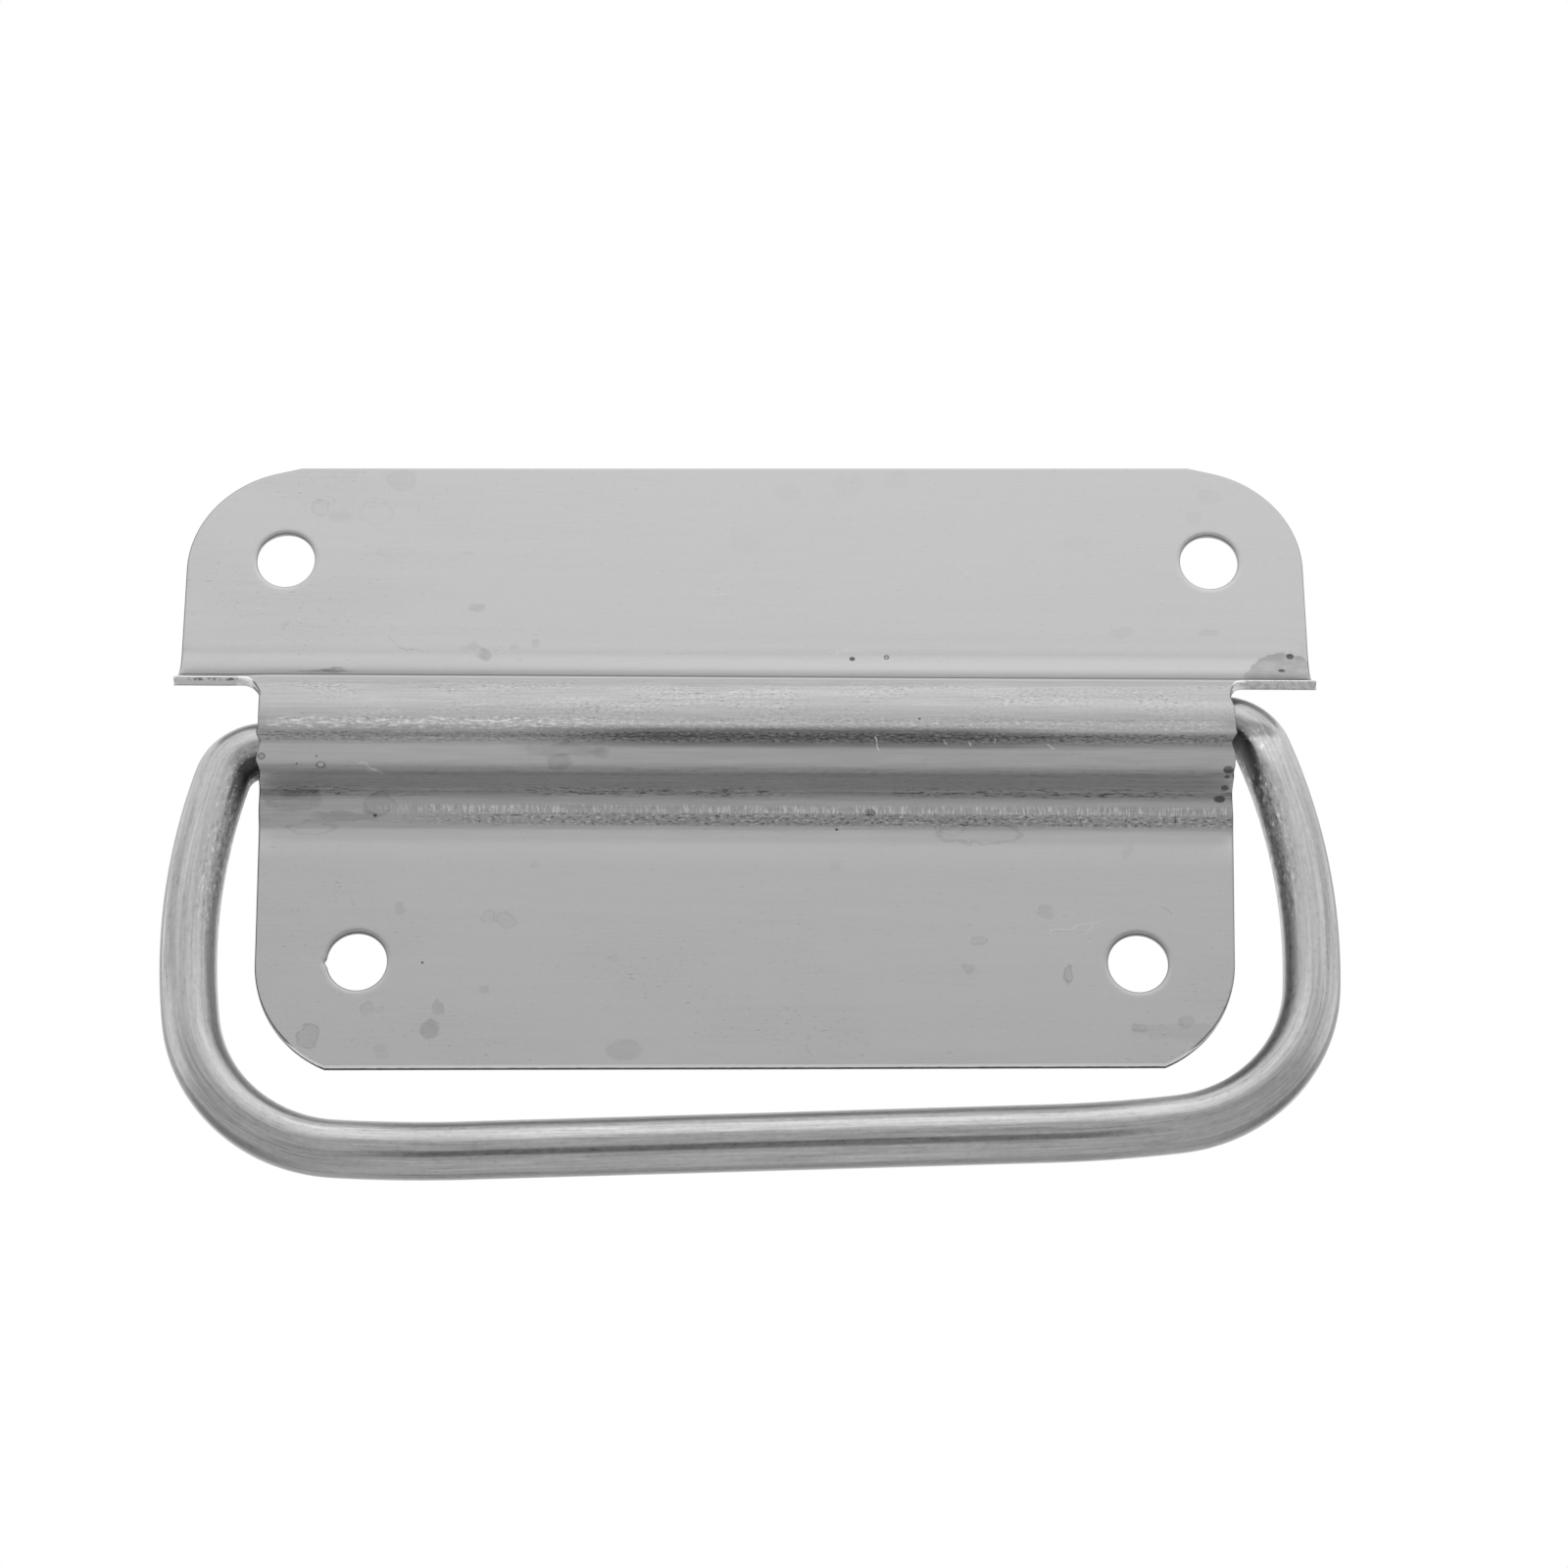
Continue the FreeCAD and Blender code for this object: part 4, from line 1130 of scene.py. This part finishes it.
def sheet_steel():
    material, graph, inputs = new_material("sheet_steel", Metallic=1.0)
    band, span, times = graph.band, graph.span, graph.times
    across, row, edge = graph.parts(graph.attribute("blank", "Vector"))
    depth, bore = graph.attribute("depth"), graph.attribute("bore")
    place = graph.whole(across, row, 0.0)
    front = span(depth, 0.5, 0.3)

    grain = grain_on(graph, place, (0.16, 4.6, 0.0), (0.06, 0.12, 0.0))
    wide = grain_on(graph, place, (0.02, 0.8, 0.0), (0.02, 0.05, 0.0))
    specks = flecks_on(graph, place, (1.5, 4.2, 0.0), 0.16, 0.26)
    marks, pits = sheet_marks(graph, place, row)
    fold_marks_and_shade, worn = fold_marks_and_shading(graph, place, across, row)
    pressed = times(span(row, 28.0, 29.5), span(row, 46.0, 44.0))
    left = span(across, -20.0, -40.0)
    foot = span(row, 66.0, 67.0)
    wing = band(row, 24.6, 29.2, 0.3)
    smudged = times(span(grain["Patches"], -0.06, 0.14),
                    graph.math("MAXIMUM", left, span(row, 50.0, 60.0)))

    # Sheared walls, from the burnished front through the tear to the back
    outline = graph.math("SUBTRACT", 1.0, bore, clamp=True)
    cut = times(span(edge, 0.07, 0.03), outline)
    wing_cut = times(cut, wing)
    plain_cut = graph.math("SUBTRACT", cut, wing_cut, clamp=True)
    burnished = times(band(depth, 0.1, 0.45, 0.04), plain_cut)
    torn = times(band(depth, 0.52, 0.88, 0.04), plain_cut)
    ticks = flecks_on(graph, graph.whole(across, row, times(depth, 3.0)),
                      (2.4, 1.6, 1.0), 0.4, 0.62)["Dark"]
    bitten = times(band(depth, 0.16, 0.42, 0.05), wing_cut)
    wing_foot = times(band(depth, 0.78, 0.95, 0.03), wing_cut)
    throat = times(band(depth, 0.2, 0.76, 0.05), bore)
    throat_line = times(band(depth, 0.8, 0.95, 0.03), bore)

    # Rolled edges, seen from the front: painted shade lines along the outline's sides and top and
    # round the holes' front rims, and a painted highlight along the rolled bottom edge
    edge_wide = times(span(edge, 0.2, 0.08), front)
    edge_shade_band = times(span(edge, 0.13, 0.06), front)
    rim = times(edge_wide, outline)
    outline_shade_line = times(edge_shade_band, outline)
    side_shade_line = graph.math("SUBTRACT", outline_shade_line,
                           times(outline_shade_line, graph.math("MAXIMUM", foot, wing)))

    finish_metal(graph, inputs, [
        (grain["Lines"], 0.13),
        (grain["Lines"], pressed, 0.5),
        (wide["Lines"], 0.08),
        (wide["Lines"], pressed, 0.4),
        (grain["Patches"], 0.05),
        (specks["Dark"], front, -0.13),
        (specks["Dark"], front, smudged, -0.22),
        (smudged, front, -0.02),
        (specks["Bright"], front, 0.1),
        (marks, front, 1.0),
        (fold_marks_and_shade, front, 1.0),
        (rim, 0.05),
        # painted highlight along the rolled bottom edge
        (rim, foot, 0.9),
        (edge_wide, wing, 0.35),
        (wing_foot, -0.3),
        # painted shade line along the rolled sides and top, darker on the left
        (side_shade_line, -0.55),
        (side_shade_line, left, -0.3),
        (burnished, 0.9),
        (torn, -0.35),
        (torn, foot, -0.4),
        (torn, ticks, -0.25),
        (wing_cut, 0.35),
        (bitten, -0.2),
        (bitten, band(across, -51.1, -46.6, 0.2), ticks, -1.0),
        (wing_cut, ticks, span(across, 44.0, 46.5), -0.3),
        # painted shade line round the holes' front rims
        (edge_shade_band, bore, -0.42),
        (throat, 0.5),
        (throat_line, -0.6),
    ], [
        (grain["Patches"], 0.08),
        (grain["Lines"], 0.06),
        (worn, 0.08),
        (torn, 0.2),
    ], 0.34, [
        (grain["Lines"], 0.5),
        (pits, 2.5),
        (torn, ticks, -3.0),
    ])
    return material


# Finish of the drawn wire

def wire_steel(wire_length):
    material, graph, inputs = new_material("wire_steel", Metallic=1.0)
    band, span, times = graph.band, graph.span, graph.times
    wallward, inward, length = graph.parts(graph.attribute("wire", "Vector"))
    rub = graph.attribute("rub")
    along = times(length, 1 / MM)
    place = graph.whole(times(wallward, WIRE / 2), times(inward, WIRE / 2), along)
    fine = grain_on(graph, place, (4.6, 4.6, 0.13), (0.5, 0.5, 0.05))
    wide = grain_on(graph, place, (1.3, 1.3, 0.03), (0.3, 0.3, 0.03))
    flecks = flecks_on(graph, place, (2.8, 2.8, 1.3), 0.4, 0.4)
    turn = graph.math("ARCTAN2", inward, times(wallward, -1.0))
    from_middle = graph.math("SUBTRACT", along, wire_length / 2)
    apart = graph.math("ABSOLUTE", from_middle)
    right = span(from_middle, -10.0, 10.0)
    bar = span(apart, 38.0, 28.0)
    leg = times(span(apart, 36.0, 46.0), span(apart, 88.0, 84.0))
    knee = band(apart, 60.0, 76.0, 4.0)
    shoulder = times(band(apart, 66.0, 88.0, 5.0), span(inward, 0.1, 0.6))
    heel_shade_and_scuff = times(band(apart, 79.0, 88.0, 3.0), span(turn, 0.3, 0.8))
    uneven = graph.math("ADD", times(fine["Lines"], 2.0), 1.0)

    def streak(low, high, soft, reach, ragged=0.5):
        """Band along the wire between two angles round it, with sides that wander."""
        side = graph.math("MULTIPLY_ADD", wide["Lines"], ragged, turn)
        return times(band(side, low, high, soft), reach, uneven)

    finish_metal(graph, inputs, [
        (fine["Lines"], 1.3),
        (wide["Lines"], 0.6),
        (flecks["Bright"], 0.08),
        (flecks["Dark"], -0.12),
        (shoulder, flecks["Bright"], 0.45),
        (shoulder, flecks["Dark"], -0.2),
        # painted shadow where the leg passes under the barrel, with a real dark scuff
        (heel_shade_and_scuff, -0.65),
        # painted light on the dent's patch against the darker shading of its facets, with bright
        # scuffs of real wear
        (rub, 0.18),
        (rub, flecks["Bright"], 0.35),
        (leg, -0.07),
        (streak(0.6, 1.2, 0.12, leg), -0.25),
        (streak(0.5, 1.3, 0.12, times(leg, right)), -0.25),
        (streak(-1.4, -1.05, 0.08, leg, 0.1), -0.38),
        (streak(0.36, 0.75, 0.06, bar, 0.2), -0.3),
        (streak(-0.34, -0.14, 0.06, bar, 0.2), 0.08),
        (streak(-0.6, -0.39, 0.05, bar, 0.1), -0.55),
        (streak(-1.2, -0.75, 0.1, bar, 0.3), 0.12),
        (streak(-1.55, -1.3, 0.06, bar, 0.1), -0.22),
        (streak(-0.85, -0.45, 0.12, knee), -0.2),
    ], [
        (fine["Lines"], 0.15),
        (wide["Patches"], 0.1),
        (shoulder, 0.06),
        (rub, 0.12),
    ], 0.3, [
        (fine["Lines"], 1.2),
        (wide["Lines"], 1.5),
    ])
    return material


# Stage, in metres

PANEL_COLOUR = (0.8, 0.8, 0.8, 1)
STAGE_REACH, FLOOR, SCREEN_TOP, SCREEN_BACK = 3.0, -0.36, 0.55, -1.6
WORLD_LIGHT = 0.64      # what the white world lights with; it is seen at one
KEY_PLACE, KEY_TARGET, KEY_SIZE, KEY_POWER = (0.2, -0.9, 1.2), (0, 0, -0.02), 1.2, 1.1
VIEW_TILT = 27.0
VIEW_DISTANCE = 0.44144
VIEW_TARGET = Vector((0.0, -0.0009, -0.0236))
VIEW_LENS, VIEW_SENSOR, VIEW_SHIFT = 110.25, 36.0, 0.025


def flat_panel(name, corners):
    mesh = bpy.data.meshes.new(name)
    mesh.from_pydata(corners, [], [(0, 1, 2, 3)])
    panel = put(name, mesh)
    mesh.materials.append(new_material(name, Base_Color=PANEL_COLOUR, Roughness=0.9)[0])
    return panel


def make_stage():
    reach, low, high = STAGE_REACH, FLOOR, SCREEN_TOP
    flat_panel("pale_floor", [(-reach, -reach, low), (reach, -reach, low),
                              (reach, reach, low), (-reach, reach, low)])
    screen = flat_panel("studio_screen", [(-reach, SCREEN_BACK, low), (-reach, SCREEN_BACK, high),
                                          (reach, SCREEN_BACK, high), (reach, SCREEN_BACK, low)])
    screen.visible_camera = False


def make_world():
    world = bpy.data.worlds.new("studio")
    bpy.context.scene.world = world
    world.use_nodes = True
    graph = Graph(world.node_tree)
    background = world.node_tree.nodes["Background"]
    background.inputs["Color"].default_value = (1, 1, 1, 1)
    rays = graph.place("ShaderNodeLightPath")
    seen = graph.math("MAXIMUM", rays["Is Camera Ray"], rays["Is Glossy Ray"])
    seen = graph.math("MAXIMUM", seen, rays["Is Transmission Ray"])
    graph.feed(background.inputs["Strength"], graph.span(seen, 0.0, 1.0, WORLD_LIGHT, 1.0))


def make_lamp():
    lamp = bpy.data.lights.new("key", "AREA")
    lamp.size = KEY_SIZE
    lamp.energy = KEY_POWER
    holder = put("key", lamp)
    holder.location = KEY_PLACE
    aim = Vector(KEY_TARGET) - Vector(KEY_PLACE)
    holder.rotation_euler = aim.to_track_quat("-Z", "Y").to_euler()


def make_camera():
    camera = bpy.data.cameras.new("camera")
    camera.lens = VIEW_LENS
    camera.sensor_width = VIEW_SENSOR
    camera.shift_x = VIEW_SHIFT
    holder = put("camera", camera)
    ahead = Vector((0, cosine(VIEW_TILT), sine(VIEW_TILT)))
    holder.location = VIEW_TARGET - ahead * VIEW_DISTANCE
    holder.rotation_euler = (math.radians(90 + VIEW_TILT), 0, 0)
    bpy.context.scene.camera = holder


bpy.context.scene.view_settings.view_transform = "Standard"
make_camera()
make_world()
make_stage()
make_lamp()

plate = make_plate()
plate.data.materials.append(sheet_steel())
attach(plate, "plate")
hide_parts("plate")

wire_route = bail_route()
wire_length = sum((after - before).length for before, after in zip(wire_route, wire_route[1:])) / MM
bail = make_bail(wire_route, wire_steel(wire_length))
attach(bail, "bail")
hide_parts("bail")
